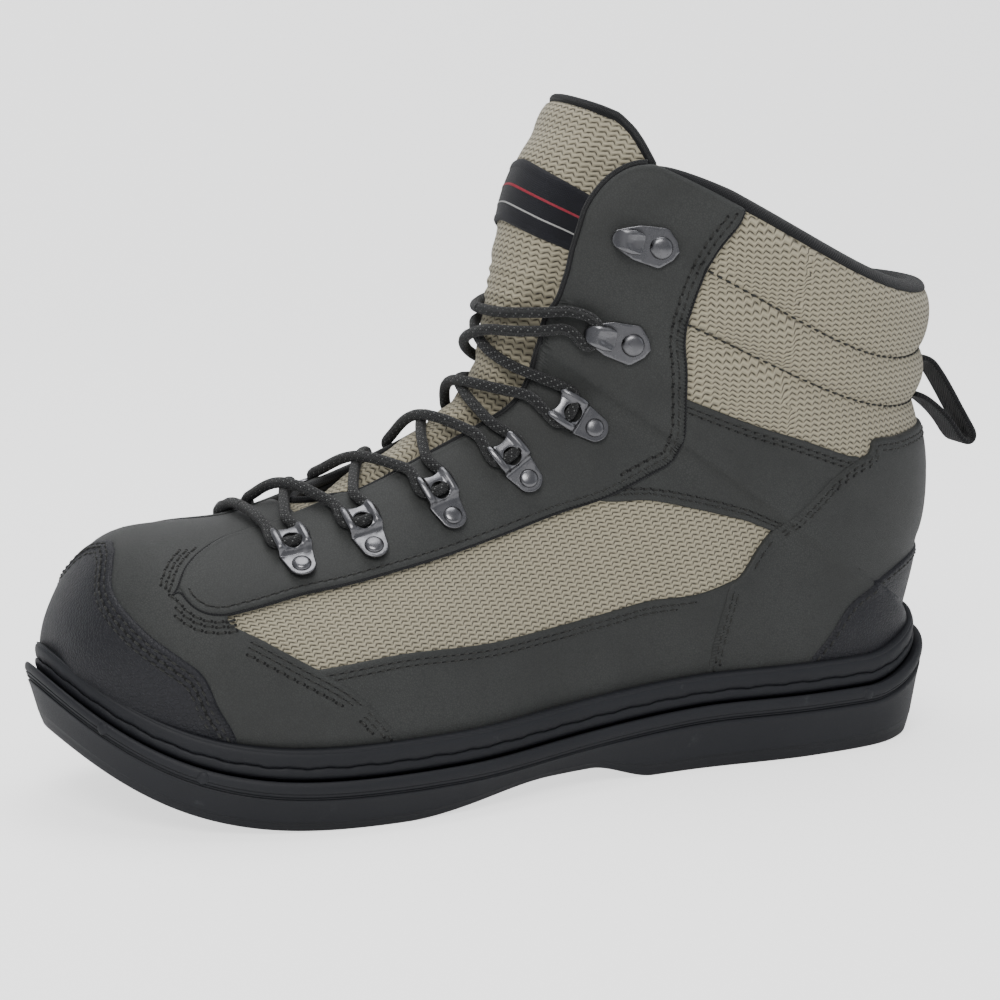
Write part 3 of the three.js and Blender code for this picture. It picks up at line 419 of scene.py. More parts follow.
    def thickness(self, row, turn):
        s = sizes()
        return s.wall + (s.collar_wall - s.wall) * ramp(12, 13.5, row) * ramp(0.66, 0.86, np.abs(turn))


@cache
def last():
    return Last()


# Making meshes


def link(name, mesh, material, slot, *nodes):
    """A smooth piece that rides on the boot and stands for nodes of the solids."""
    piece = bpy.data.objects.new(name, mesh)
    bpy.context.scene.collection.objects.link(piece)
    for m in material if isinstance(material, (list, tuple)) else [material]:
        mesh.materials.append(m)
    mesh.polygons.foreach_set("use_smooth", [True] * len(mesh.polygons))
    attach(piece, BODY)
    if nodes:
        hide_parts(*nodes)
    return piece


def mesh_of(name, points, faces, uv=None, kinds=None):
    """A mesh from points and faces, with a UV for each point and a material number for each face."""
    mesh = bpy.data.meshes.new(name)
    mesh.from_pydata(np.asarray(points).tolist(), [], [list(map(int, f)) for f in faces])
    if uv is not None:
        layer = mesh.uv_layers.new(name="UVMap")
        corners = np.zeros(len(mesh.loops), int)
        mesh.loops.foreach_get("vertex_index", corners)
        layer.data.foreach_set("uv", np.asarray(uv, np.float32)[corners].ravel())
    if kinds is not None:
        mesh.polygons.foreach_set("material_index", kinds)
    mesh.update()
    return mesh


def grid_faces(rows, columns, start=0, around=False, flip=False):
    """Quads of a grid whose points are numbered row by row."""
    i, j = np.meshgrid(np.arange(rows - 1), np.arange(columns if around else columns - 1), indexing="ij")
    k = (j + 1) % columns
    quads = np.stack([i * columns + j, (i + 1) * columns + j, (i + 1) * columns + k, i * columns + k], -1)
    quads = quads.reshape(-1, 4) + start
    return quads[:, ::-1] if flip else quads


def inside(points, outline):
    """Which points lie inside a closed outline."""
    x, y = points[:, 0][:, None], points[:, 1][:, None]
    ax, ay = outline[:, 0], outline[:, 1]
    bx, by = np.roll(ax, -1), np.roll(ay, -1)
    crosses = (ay > y) != (by > y)
    span = np.where(by == ay, 1e-12, by - ay)
    return (crosses & (x < (bx - ax) * (y - ay) / span + ax)).sum(1) % 2 == 1


def spread(path, spacing, closed=False):
    """Points at even steps along a polyline in space."""
    loop = np.vstack([path, path[:1]]) if closed else path
    steps = lengths(loop)
    count = max(int(round(steps[-1] / spacing)), 2)
    at = np.linspace(0, steps[-1], count if closed else count + 1, endpoint=not closed)
    return at_steps(at, steps, loop)


def flat_spread(path, spacing, closed=False):
    """The same for a polyline in a plane."""
    return spread(np.column_stack([path, np.zeros(len(path))]), spacing, closed)[:, :2]


def rounded(points, per_span=14):
    """An open smooth line through points."""
    points = np.asarray(points, float)
    knots = np.vstack([2 * points[0] - points[1], points, 2 * points[-1] - points[-2]])
    t = np.linspace(0, 1, per_span, endpoint=False)[:, None]
    lines = [span(knots[i - 1 : i + 3], t)[0] for i in range(1, len(knots) - 2)]
    return np.vstack(lines + [points[-1:]])


def crosswise(path):
    """Two crosswise directions along a path, turning as little as they can."""
    tangent = unit(np.gradient(path, axis=0))
    side = np.zeros_like(path)
    start = np.cross(tangent[0], (0.0, 0.0, 1.0))
    if np.linalg.norm(start) < 0.1:
        start = np.cross(tangent[0], (1.0, 0.0, 0.0))
    side[0] = unit(start)
    for i in range(1, len(path)):
        side[i] = unit(side[i - 1] - tangent[i] * side[i - 1].dot(tangent[i]))
    return side, np.cross(tangent, side)


def tube(path, radius, sides=14):
    """Points, faces and UVs of a round cord along a path. UVs are metres round it and along it."""
    side, over = crosswise(path)
    angle = np.linspace(0, 2 * np.pi, sides, endpoint=False)
    ring = side[:, None] * np.cos(angle)[None, :, None] + over[:, None] * np.sin(angle)[None, :, None]
    points = (path[:, None] + ring * radius).reshape(-1, 3)
    around = np.broadcast_to(angle * radius, (len(path), sides))
    uv = np.stack([around, np.broadcast_to(lengths(path)[:, None], around.shape)], -1).reshape(-1, 2)
    faces = [list(f) for f in grid_faces(len(path), sides, around=True, flip=True)]
    ends = np.array([path[0] - (path[1] - path[0]) * 0.01, path[-1] + (path[-1] - path[-2]) * 0.01])
    first, final, base = len(points), len(points) + 1, (len(path) - 1) * sides
    faces += [[first, j, (j + 1) % sides] for j in range(sides)]
    faces += [[final, base + (j + 1) % sides, base + j] for j in range(sides)]
    return np.vstack([points, ends]), faces, np.vstack([uv, uv[0], uv[-1]])


def turned_out(mesh, weld=0.0, recalculate=True):
    """The mesh with its doubled points joined and its faces turned outwards."""
    shape = bmesh.new()
    shape.from_mesh(mesh)
    if weld:
        bmesh.ops.remove_doubles(shape, verts=shape.verts, dist=weld)
    if recalculate:
        bmesh.ops.recalc_face_normals(shape, faces=shape.faces)
    shape.to_mesh(mesh)
    shape.free()
    return mesh


class Gather:
    """Collects pieces of mesh into one."""

    def __init__(self):
        self.points, self.faces, self.uv, self.kinds, self.count = [], [], [], [], 0

    def add(self, points, faces, uv=None, kind=0):
        points = np.asarray(points, float).reshape(-1, 3)
        self.points.append(points)
        self.uv.append(np.zeros((len(points), 2)) if uv is None else np.asarray(uv))
        self.faces += [[int(k) + self.count for k in f] for f in faces]
        self.kinds += [kind] * len(faces)
        self.count += len(points)

    def mesh(self, name, weld=0.0):
        mesh = mesh_of(name, np.vstack(self.points), self.faces, np.vstack(self.uv), self.kinds)
        return turned_out(mesh, weld, False) if weld else mesh


# Materials


class Nodes:
    """Builds a node tree a node at a time. Inputs are numbers, colours or other nodes' outputs."""

    def __init__(self, tree):
        self.tree = tree

    def put(self, socket, value):
        if isinstance(value, bpy.types.NodeSocket):
            self.tree.links.new(value, socket)
        elif value is not None:
            if socket.type == "RGBA" and len(value) == 3:
                value = (*value, 1.0)
            socket.default_value = value

    def add(self, kind, settings=None, **inputs):
        node = self.tree.nodes.new(kind)
        for key, value in (settings or {}).items():
            setattr(node, key, value)
        for key, value in inputs.items():
            self.put(node.inputs[key.replace("_", " ")], value)
        return node

    def math(self, operation, a, b=None, c=None):
        node = self.add("ShaderNodeMath", {"operation": operation})
        for socket, value in zip(node.inputs, (a, b, c)):
            self.put(socket, value)
        return node.outputs[0]

    def mix(self, share, a, b):
        node = self.add("ShaderNodeMix", {"data_type": "RGBA"})
        self.put(node.inputs["Factor"], share)
        self.put(node.inputs[6], a)
        self.put(node.inputs[7], b)
        return node.outputs[2]

    def over(self, under, mask, share, colour):
        """A colour laid over another by a share of a mask."""
        return self.mix(self.math("MULTIPLY", mask, share), under, colour)

    def spread(self, value, low, high, to_low=0.0, to_high=1.0):
        node = self.add("ShaderNodeMapRange", {"interpolation_type": "SMOOTHSTEP"})
        keys = ("Value", "From Min", "From Max", "To Min", "To Max")
        for key, v in zip(keys, (value, low, high, to_low, to_high)):
            self.put(node.inputs[key], v)
        return node.outputs[0]

    def noise(self, where, scale, detail=3.0, roughness=0.55):
        node = self.add("ShaderNodeTexNoise", Vector=where, Scale=scale, Detail=detail, Roughness=roughness)
        return node.outputs["Fac"]

    def bump(self, height, distance, strength=0.9):
        return self.add("ShaderNodeBump", Height=height, Distance=distance, Strength=strength).outputs[0]


def effect(name, inputs, outputs):
    """Turns a function that lays out nodes into one that gives them as a node group, built once."""

    def wrap(lay_out):
        def given():
            if name in bpy.data.node_groups:
                return bpy.data.node_groups[name]
            group = bpy.data.node_groups.new(name, "ShaderNodeTree")
            for key, default in inputs.items():
                kind = "NodeSocketVector" if default is None else "NodeSocketFloat"
                socket = group.interface.new_socket(key, in_out="INPUT", socket_type=kind)
                if default is not None:
                    socket.default_value = default
            for key in outputs:
                group.interface.new_socket(key, in_out="OUTPUT", socket_type="NodeSocketFloat")
            n, entry = Nodes(group), group.nodes.new("NodeGroupInput")
            results = lay_out(n, *(entry.outputs[key] for key in inputs))
            for socket, value in zip(group.nodes.new("NodeGroupOutput").inputs, results):
                n.put(socket, value)
            return group

        return given

    return wrap


@effect("Leather grain", {"Place": None, "Pebble": 700.0, "Pores": 4200.0}, ("Height", "Crease"))
def grain_effect(n, place, pebble, pores):
    """Pebbled leather grain with fine pores. Height and the creases between pebbles."""
    bent = n.add("ShaderNodeTexNoise", Vector=place, Scale=160.0, Detail=2.0).outputs["Color"]
    shifted = n.add("ShaderNodeVectorMath", {"operation": "MULTIPLY_ADD"})
    for socket, value in zip(shifted.inputs, (bent, (0.0016, 0.0016, 0.0016), place)):
        n.put(socket, value)
    cells = n.add("ShaderNodeTexVoronoi", {"feature": "DISTANCE_TO_EDGE"}, Vector=shifted.outputs[0], Scale=pebble)
    crease = n.spread(cells.outputs["Distance"], 0.0, 0.22, 1.0, 0.0)
    flat = n.math("SUBTRACT", 0.6, n.math("MULTIPLY", crease, 0.6))
    return n.math("MULTIPLY_ADD", n.noise(place, pores, 2.0), 0.45, flat), crease


@effect("Fading and scuffs", {"Place": None, "Fading": 22.0, "Scuffs": 260.0}, ("Fade", "Scuff"))
def wear_effect(n, place, fading, scuffs):
    """Broad fading and small scuffs, as shares from 0 to 1."""
    fade = n.spread(n.noise(place, fading, 5.0, 0.6), 0.36, 0.66)
    rub, where = n.noise(place, scuffs, 6.0, 0.7), n.noise(place, 38.0, 2.0)
    return fade, n.math("MULTIPLY", n.spread(rub, 0.6, 0.74), n.spread(where, 0.5, 0.62))


KNIT = {"Place": None, "Row": 0.0019, "Wave": 0.0031, "Swing": 0.24}


@effect("Wavy knit", KNIT, ("Height", "Hole and painted shade", "Painted highlight"))
def knit_effect(n, spot, row, wave, swing):
    """Wavy knitted rows from metres along and up. Height of the yarn, a mask of its holes and the painted shade between
    its rows, and a mask of the painted highlight on its crowns.
    """
    drift = n.math("SUBTRACT", n.noise(spot, 70.0, 2.0), 0.5)
    place = n.add("ShaderNodeSeparateXYZ", Vector=spot)
    along = n.math("ADD", n.math("DIVIDE", place.outputs[0], wave), n.math("MULTIPLY", drift, 0.2))
    up = n.math("DIVIDE", place.outputs[1], row)
    phase = n.math("MULTIPLY", along, 2 * math.pi)
    beat = n.math("COSINE", n.math("ADD", phase, n.math("MULTIPLY", n.math("COSINE", phase), 0.45)))
    waved = n.math("SUBTRACT", up, n.math("MULTIPLY", beat, swing))
    part = n.math("FRACT", n.math("ADD", waved, n.math("MULTIPLY", drift, 0.22)))
    yarn = n.math("SINE", n.math("MULTIPLY", part, math.pi))
    loops = n.math("SUBTRACT", n.noise(spot, 900.0, 1.0), 0.5)
    edge = n.math("ADD", 0.52, n.math("MULTIPLY", loops, 0.5))
    # Dark holes in the valleys between rows: partly the holes, partly painted shade between the rows.
    valley = n.spread(yarn, n.math("SUBTRACT", edge, 0.3), edge, 1.0, 0.0)
    arch, legs = n.spread(beat, -0.95, -0.1, 0.3, 1.0), n.spread(beat, 0.95, 0.4, 0.72, 1.0)
    hole = n.math("MULTIPLY", n.math("MULTIPLY", valley, arch), legs)
    # Painted highlight on the crown of each row of yarn, as if lit.
    crown = n.math("MULTIPLY", n.spread(part, 0.3, 0.55), n.spread(part, 0.85, 0.6))
    flat = n.math("MAXIMUM", yarn, n.spread(beat, -0.2, -0.8, 0.0, 0.78))
    height = n.math("SUBTRACT", flat, n.math("MULTIPLY", hole, 0.8))
    return n.math("ADD", height, n.math("MULTIPLY", n.noise(spot, 3200.0, 1.0), 0.3)), hole, crown


@effect("Braid", {"Place": None, "Strand": 0.0011, "Slant": 1.0}, ("Height", "Fleck"))
def braid_effect(n, spot, strand, slant):
    """Crossing strands of a braid or a woven tape, from metres round and along. Height and single light strands."""
    place = n.add("ShaderNodeSeparateXYZ", Vector=spot)
    around = n.math("DIVIDE", place.outputs[0], strand)
    along = n.math("MULTIPLY", n.math("DIVIDE", place.outputs[1], strand), slant)
    lines = n.math("ADD", along, around), n.math("SUBTRACT", along, around)
    bumps = [n.math("ABSOLUTE", n.math("SINE", n.math("MULTIPLY", line, math.pi))) for line in lines]
    height = n.math("MULTIPLY", *bumps)
    floors = [n.math("WRAP", n.math("FLOOR", line), step, 0.0) for line, step in zip(lines, (3.0, 2.0))]
    traced = n.math("MULTIPLY", *(n.math("LESS_THAN", line, 0.5) for line in floors))
    return height, n.math("MULTIPLY", traced, n.spread(height, 0.25, 0.6))


def placed(n, group, where, **inputs):
    """A node group placed in a material."""
    node = n.tree.nodes.new("ShaderNodeGroup")
    node.node_tree = group
    n.put(node.inputs["Place"], where)
    for key, value in inputs.items():
        n.put(node.inputs[key], value)
    return node


def material(name, lay_out):
    """A material built once. lay_out gives what goes into its shader, from the point's place and its UV."""
    if name not in bpy.data.materials:
        made = bpy.data.materials.new(name)
        made.use_nodes = True
        n, shader = Nodes(made.node_tree), made.node_tree.nodes["Principled BSDF"]
        where = n.add("ShaderNodeTexCoord").outputs
        for key, value in lay_out(n, where["Object"], where["UV"]).items():
            n.put(shader.inputs[key], value)
    return bpy.data.materials[name]


def tone(colour, by, plus=0.0):
    """A lighter or darker tone of a colour."""
    return tuple(min(c * by + plus, 1) for c in colour)


def leather_like(name, colour, pebble, depth, rough, sheen, fade=0.25):
    """Grained leather, nubuck or soft rubber-coated leather."""

    def lay_out(n, place, uv):
        grain = placed(n, grain_effect(), place, Pebble=pebble, Pores=pebble * 5)
        wear = placed(n, wear_effect(), place)
        shade = n.over(tuple(colour), wear.outputs[0], fade * 2, tone(colour, 1.55, 0.012))
        # Painted shade: the grain's creases between pebbles darker.
        shade = n.over(shade, grain.outputs[1], 0.55, tone(colour, 0.6))
        return {
            "Base Color": n.over(shade, wear.outputs[1], 0.28, tone(colour, 2.4, 0.03)),
            "Roughness": n.spread(wear.outputs[0], 0.0, 1.0, rough, rough + 0.09),
            "Normal": n.bump(grain.outputs[0], depth),
            "Sheen Weight": sheen, "Sheen Roughness": 0.4, "Specular IOR Level": 0.42,
        }

    return material(name, lay_out)


def panel_leather():
    return leather_like("panel_nubuck", colours().leather, 1250.0, 0.00007, 0.58, 0.1)


def cap_leather():
    return leather_like("cap_grain", colours().cap, 760.0, 0.00022, 0.44, 0.0, 0.12)


def sole_rubber():
    def lay_out(n, place, uv):
        wear = placed(n, wear_effect(), place, Fading=14.0, Scuffs=120.0)
        fine = n.noise(place, 3800.0, 2.0)
        colour = tuple(colours().rubber)
        shade = n.over(colour, wear.outputs[0], 0.3, tone(colour, 1.5, 0.006))
        return {
            "Base Color": n.over(shade, wear.outputs[1], 0.35, (0.085, 0.088, 0.094)),
            "Roughness": n.spread(fine, 0.3, 0.7, 0.5, 0.64),
            "Normal": n.bump(fine, 0.00006, 0.8), "Specular IOR Level": 0.4,
        }

    return material("moulded_rubber", lay_out)


def knit_cloth():
    def lay_out(n, place, uv):
        knit = placed(n, knit_effect(), uv)
        wear = placed(n, wear_effect(), place, Fading=30.0)
        colour = tuple(colours().knit)
        shade = n.over(colour, wear.outputs[0], 0.18, tone(colour, 0.84))
        # Painted highlight: the yarn's crowns lighter, as if lit.
        shade = n.over(shade, knit.outputs[2], 0.6, tone(colour, 1.35))
        return {
            # The holes and the gaps between rows darker: partly the holes, partly painted shade.
            "Base Color": n.over(shade, knit.outputs[1], 0.95, tuple(colours().knit_hole_shade)),
            "Roughness": 0.9, "Normal": n.bump(knit.outputs[0], 0.00042),
            "Sheen Weight": 0.25, "Specular IOR Level": 0.2,
        }

    return material("knit_cloth", lay_out)


def woven(name, colour, strand, depth, flecks=None):
    """Braided cord, webbing and lining cloth."""

    def lay_out(n, place, uv):
        braid = placed(n, braid_effect(), uv, Strand=strand)
        wear = placed(n, wear_effect(), place, Fading=60.0)
        shade = n.over(tuple(colour), wear.outputs[0], 0.35, tone(colour, 1.8, 0.004))
        # Painted shade: darker in the grooves between the strands.
        shade = n.mix(n.spread(braid.outputs[0], 0.0, 0.35, 0.6, 0.0), shade, tone(colour, 0.3))
        if flecks:
            shade = n.over(shade, braid.outputs[1], 0.8, tuple(flecks))
        return {
            "Base Color": shade, "Roughness": 0.85, "Normal": n.bump(braid.outputs[0], depth),
            "Sheen Weight": 0.15, "Specular IOR Level": 0.3,
        }

    return material(name, lay_out)


def lining_cloth():
    return woven("lining_cloth", colours().lining, 0.0009, 0.00018)


def lace_cord():
    return woven("lace_cord", colours().lace, 0.00095, 0.0003, colours().fleck)


def strap_webbing():
    return woven("strap_webbing", colours().lining, 0.0014, 0.00035)


def stitch_thread():
    return woven("stitch_thread", colours().thread, 0.0004, 0.0001)


def gun_metal():
    def lay_out(n, place, uv):
        wear = placed(n, wear_effect(), place, Fading=240.0, Scuffs=900.0)
        colour = tuple(colours().metal)
        return {
            "Base Color": n.over(colour, wear.outputs[0], 0.4, tone(colour, 0.62)), "Metallic": 1.0,
            "Roughness": n.spread(wear.outputs[0], 0.0, 1.0, 0.24, 0.36),
            "Normal": n.bump(n.noise(place, 2600.0, 2.0), 0.00002, 0.4),
        }

    return material("gun_metal", lay_out)


def painted_shade_hole():
    # Painted shade: the near-black of stitch holes and of the gap round rivets.
    def lay_out(n, place, uv):
        shade = n.mix(n.noise(place, 1500.0, 1.0), (0.002, 0.002, 0.002), (0.008, 0.008, 0.008))
        return {"Base Color": shade, "Roughness": 0.9}

    return material("painted_shade_hole", lay_out)


def pale_floor():
    """A pale matt floor that the camera sees lit from below as well, as in a studio."""

    def lay_out(n, place, uv):
        seen = n.add("ShaderNodeLightPath").outputs["Is Camera Ray"]
        return {
            "Base Color": n.mix(n.noise(place, 3.0, 2.0), (0.9, 0.9, 0.895), (0.93, 0.93, 0.925)),
            "Roughness": 0.75, "Emission Color": (1.0, 1.0, 1.0),
            "Emission Strength": n.math("MULTIPLY_ADD", seen, 1.3, 0.1),
        }

    return material("pale_floor", lay_out)


# Panels of the upper, cut along seams of the side view: along and up as shares of the sizes

SEAMS = {
    "toe_cap": [
        (0.896, 0.438), (0.908, 0.306), (0.923, 0.253), (0.931, 0.211), (0.929, 0.191), (0.914, 0.167),
        (0.893, 0.152), (0.871, 0.132), (0.856, 0.079), (0.84, 0.03), (0.831, -0.073),
    ],
    "vamp": [
        (0.675, -0.081), (0.681, 0.025), (0.696, 0.064), (0.727, 0.119), (0.776, 0.172), (0.816, 0.209),
        (0.844, 0.231), (0.804, 0.301), (0.724, 0.403), (0.724, 0.558),
    ],
    "facing": [
        (0.258, 1.042), (0.285, 0.919), (0.307, 0.869), (0.319, 0.831), (0.331, 0.781), (0.337, 0.742),
        (0.34, 0.703), (0.337, 0.631), (0.337, 0.547), (0.34, 0.486), (0.35, 0.458), (0.371, 0.442),
        (0.426, 0.403), (0.482, 0.375), (0.54, 0.347), (0.598, 0.325), (0.656, 0.308), (0.712, 0.292),
        (0.767, 0.278), (0.825, 0.251), (0.847, 0.238), (0.865, 0.235), (0.877, 0.245), (0.882, 0.27),
        (0.88, 0.315), (0.865, 0.458),
    ],
    "side_panel": [
        (0.773, 0.156), (0.672, 0.169), (0.552, 0.164), (0.433, 0.186), (0.374, 0.203), (0.325, 0.208),
        (0.276, 0.231),
    ],
    "ankle_panel": [
        (0.356, 0.597), (0.313, 0.564), (0.261, 0.525), (0.209, 0.492), (0.153, 0.453), (0.135, 0.442),
        (0.202, 0.308), (0.27, 0.342), (0.322, 0.369), (0.374, 0.392), (0.433, 0.403), (0.411, 0.453),
    ],
    "counter": [
        (0, 0.481), (0.083, 0.475), (0.12, 0.475), (0.123, 0.453), (0.147, 0.436), (0.193, 0.369),
        (0.23, 0.319), (0.252, 0.281), (0.273, 0.236), (0.288, 0.219), (0.294, 0.186), (0.304, 0.108),
        (0.307, 0.047), (0.31, -0.081),
    ],
    "guard": [
        (0, 0.239), (0.055, 0.219), (0.104, 0.186), (0.141, 0.147), (0.166, 0.097), (0.187, 0.053),
        (0.196, 0.008), (0.199, -0.081),
    ],
}
VAMP_STRIP = np.array([
    (0.69, 0.1), (0.79, 0.1), (0.816, 0.124), (0.853, 0.19), (0.871, 0.231), (0.883, 0.273), (0.92, 0.372),
])


SEAM_STEP = 0.0012
SEAM_MISS = 0.0004


def seam_line(name, before=0.0, after=0.0):
    """A seam as rows and turns, smoothed through its places and run on straight at its ends."""
    form = last()
    places = np.array(SEAMS[name]) * (form.length, form.height)
    line = flat_spread(rounded(places), SEAM_STEP)
    ends = []
    for at, by, reach in ((0, 1, before), (-1, -2, after)):
        steps = np.linspace(0, reach, max(int(reach / SEAM_STEP), 1) + 1)
        ends.append(line[at] + unit(line[at] - line[by]) * steps[1:, None])
    line = np.vstack([ends[0][::-1], line, ends[1]])
    up = form.seat + form.spring(line[:, 0]) + line[:, 1]
    row, turn = form.locate(line[:, 0], up)
    here = form.form(row, -turn)
    miss = np.hypot(form.heel_x - line[:, 0] - here[:, 0], up - here[:, 2])
    good = np.nonzero(miss < SEAM_MISS)[0]
    run = slice(good[0], good[-1] + 1)
    return row[run], turn[run]


def to_edge(row, turn, at_end, turn_edge):
    """A line of rows and turns run on to an edge of the form, a turn of 0 or 2."""
    at, by = (-1, -4) if at_end else (0, 3)
    slope = (row[at] - row[by]) / (turn[at] - turn[by]) if abs(turn[at] - turn[by]) > 1e-6 else 0.0
    slope = np.clip(slope, -4, 4)
    steps = np.linspace(0, 1, 4)[1:] * (turn_edge - turn[at])
    more_row, more_turn = row[at] + slope * steps, turn[at] + steps
    if at_end:
        return np.append(row, more_row), np.append(turn, more_turn)
    return np.append(more_row[::-1], row), np.append(more_turn[::-1], turn)


def line_of(row, turn, hand=-1, free=True):
    """A stretch of a panel's edge: rows, signed turns, and whether it is a cut edge that shows."""
    row, turn = np.asarray(row, float), np.asarray(turn, float)
    return np.column_stack([row, hand * turn, np.full(len(row), float(free))])


def base_line(first, final, hand, free=False, turn=2.0):
    """A stretch along the base of the form, from row to row."""
    count = max(int(abs(final - first) / 0.12), 2)
    row = np.linspace(first, final, count + 1)
    return line_of(row, np.full(len(row), turn), hand, free)


MIRROR = (1, -1, 1)


def flipped(line):
    """The same line on the other side of the boot, run the other way."""
    return line[::-1] * MIRROR


def surface_step(row, turn, way):
    """Steps of row and turn that move a point over the surface by way."""
    by_row, by_turn = last().slopes(row, turn)
    a, b, c = (by_row**2).sum(-1), (by_row * by_turn).sum(-1), (by_turn**2).sum(-1)
    p, q = (by_row * way).sum(-1), (by_turn * way).sum(-1)
    det = np.maximum(a * c - b * b, 1e-12)
    return (c * p - b * q) / det, (a * q - b * p) / det


def inward(loop):
    """The way in from a closed edge over the surface, for an edge that runs round its panel either way."""
    form = last()
    points = form.form(loop[:, 0], loop[:, 1])
    along = unit(np.roll(points, -1, 0) - np.roll(points, 1, 0))
    way = unit(np.cross(form.normal(loop[:, 0], loop[:, 1]), along))
    flat = flat_place(loop[:, 0], loop[:, 1])
    d_row, d_turn = surface_step(loop[:, 0], loop[:, 1], way * 0.0005)
    moved = flat_place(loop[:, 0] + d_row, loop[:, 1] + d_turn) - flat
    run = np.roll(flat, -1, 0) - np.roll(flat, 1, 0)
    left = (run[:, 0] * moved[:, 1] - run[:, 1] * moved[:, 0]).sum()
    return way if left * swept(flat) > 0 else -way


# How many metres a row and a turn take up, roughly
FLAT_ROW, FLAT_TURN = 0.019, 0.052


def flat_place(row, turn):
    """Rows and turns laid out flat, roughly in metres."""
    return np.column_stack([np.asarray(row) * FLAT_ROW, np.asarray(turn) * FLAT_TURN])


def offset_line(loop, way, by):
    """An edge moved in over the surface by a distance, in rows and turns."""
    row, turn = loop[:, 0].copy(), loop[:, 1].copy()
    for _ in range(3):
        d_row, d_turn = surface_step(row, turn, way * by / 3)
        row, turn = row + d_row, turn + d_turn
    return row, turn


# How far in a panel's cut edge is rounded, and the farthest of the rings that every panel has along its edge
EDGE_ROUND = 0.0013
LAST_OFFSET = 0.0016


class Panel:
    """A panel of the upper: a closed edge in rows and turns, with the height it stands over the knit."""

    def __init__(self, edge, height, spacing=0.0021):
        form = last()
        self.height = height
        points = form.form(edge[:, 0], edge[:, 1])
        joined = np.column_stack([edge, points])
        keep = np.linalg.norm(points - np.roll(points, 1, 0), axis=1) > 2e-5
        joined = joined[keep]
        loop = np.vstack([joined, joined[:1]])
        run = lengths(loop[:, 3:])
        at = np.linspace(0, run[-1], int(run[-1] / 0.0013), endpoint=False)
        self.edge = at_steps(at, run, loop[:, :3])
        self.edge[:, 2] = np.where(self.edge[:, 2] > 0.85, 1, np.where(self.edge[:, 2] > 0.5, 0.7, 0))
        self.points = form.form(self.edge[:, 0], self.edge[:, 1])
        self.way = inward(self.edge)
        self.spacing = spacing
        self.ridges = []
        self.stitched_twice = None

    def depth_of(self, distance):
        """The share of the panel's height at a distance from its cut edge."""
        rise = np.clip(distance / EDGE_ROUND, 0, 1)
        share = 0.5 + 0.5 * np.sqrt(np.maximum(1 - (1 - rise) ** 2, 0))
        for at, deep, wide in self.ridges:
            share = share + deep * np.exp(-(((distance - at) / wide) ** 2)) / self.height
        return share

    def mesh(self, name):
        form = last()
        loop = self.edge
        steps = {0.00035, 0.0009, LAST_OFFSET}
        for at, _, wide in self.ridges:
            steps |= {at - wide, at, at + wide}
        tree, free_tree = tree_of(self.points), tree_of(self.points[loop[:, 2] > 0.5])
        outline = flat_place(loop[:, 0], loop[:, 1])
        # Rings set in from the edge, each where it keeps its distance.
        places, distances = [loop[:, :2]], [np.zeros(len(loop))]
        for step in sorted(steps):
            row, turn = offset_line(loop, self.way, step)
            clear = apart(tree, form.form(row, turn)) > step * 0.93
            clear &= (loop[:, 2] > 0.5) | (step == LAST_OFFSET)
            clear &= inside(flat_place(row, turn), outline)
            places.append(np.column_stack([row, turn])[clear])
            distances.append(np.full(clear.sum(), step))
        low, high = loop[:, :2].min(0), loop[:, :2].max(0)
        fine = [np.arange(low[0], high[0], 0.045), np.arange(low[1], high[1], 0.0145)]
        grid = np.column_stack([g.ravel() for g in np.meshgrid(*fine, indexing="ij")])
        grid = grid[inside(flat_place(*grid.T), outline)]
        # Thin the even grid where the form's rows run together.
        cells = np.floor(form.form(*grid.T) / self.spacing).astype(int)
        grid = grid[np.unique(cells, axis=0, return_index=True)[1]]
        spots = form.form(*grid.T)
        edge_far = apart(free_tree, spots)
        clear = apart(tree, spots) > LAST_OFFSET + 0.45 * self.spacing
        clear &= edge_far > max(steps) + 0.45 * self.spacing
        place = np.vstack([*places, grid[clear]])
        distance = np.concatenate([*distances, edge_far[clear]])
        # The hidden edges keep their own distance from the free ones.
        hidden = np.nonzero(loop[:, 2] < 0.5)[0]
        if len(hidden):
            distance[hidden] = apart(free_tree, form.form(*place[hidden].T))
        count = len(loop)
        flat = [Vector(p) for p in flat_place(*place.T).tolist()]
        verts, _, faces, origin, _, _ = delaunay_2d_cdt(flat, [], [list(range(count))], 1, 1e-7)
        source = np.array([o[0] if o else -1 for o in origin])
        row, turn = np.array([tuple(v) for v in verts]).T / [[FLAT_ROW], [FLAT_TURN]]
        turn = np.clip(turn, -2, 2)
        dist = np.where(source >= 0, distance[source], 0.0)
        for k in np.nonzero(source < 0)[0]:
            dist[k] = free_tree.find(form.form(row[k], turn[k]))[2]
        out = form.padding(row, turn) + self.height * self.depth_of(dist) * self.taper(turn)
        points = form.skin(row, turn, out)
        uv = np.column_stack([turn * 0.05, row * 0.02])
        gathered = Gather()
        gathered.add(points, self.turned(points, [list(f) for f in faces], row, turn), uv)
        # A wall down from the edge into the knit.
        on_edge = np.full(count, -1)
        for k, ids in enumerate(origin):
            for i in ids:
                if i < count and on_edge[i] < 0:
                    on_edge[i] = k
        ring = on_edge[on_edge >= 0]
        bottom = form.skin(row[ring], turn[ring], form.padding(row[ring], turn[ring]) - 0.0006)
        m = len(ring)
        quads = [[j, (j + 1) % m, m + (j + 1) % m, m + j] for j in range(m)]
        outward = np.cross(points[np.roll(ring, -1)] - points[ring], -form.normal(row[ring], turn[ring]))
        if (outward * inward(np.column_stack([row[ring], turn[ring]]))).sum() > 0:
            quads = [q[::-1] for q in quads]
        gathered.add(np.vstack([points[ring], bottom]), quads)
        return gathered.mesh(name, weld=1e-6)

    def taper(self, turn):
        return 1 - 0.45 * ramp(1.55, 1.95, np.abs(turn))

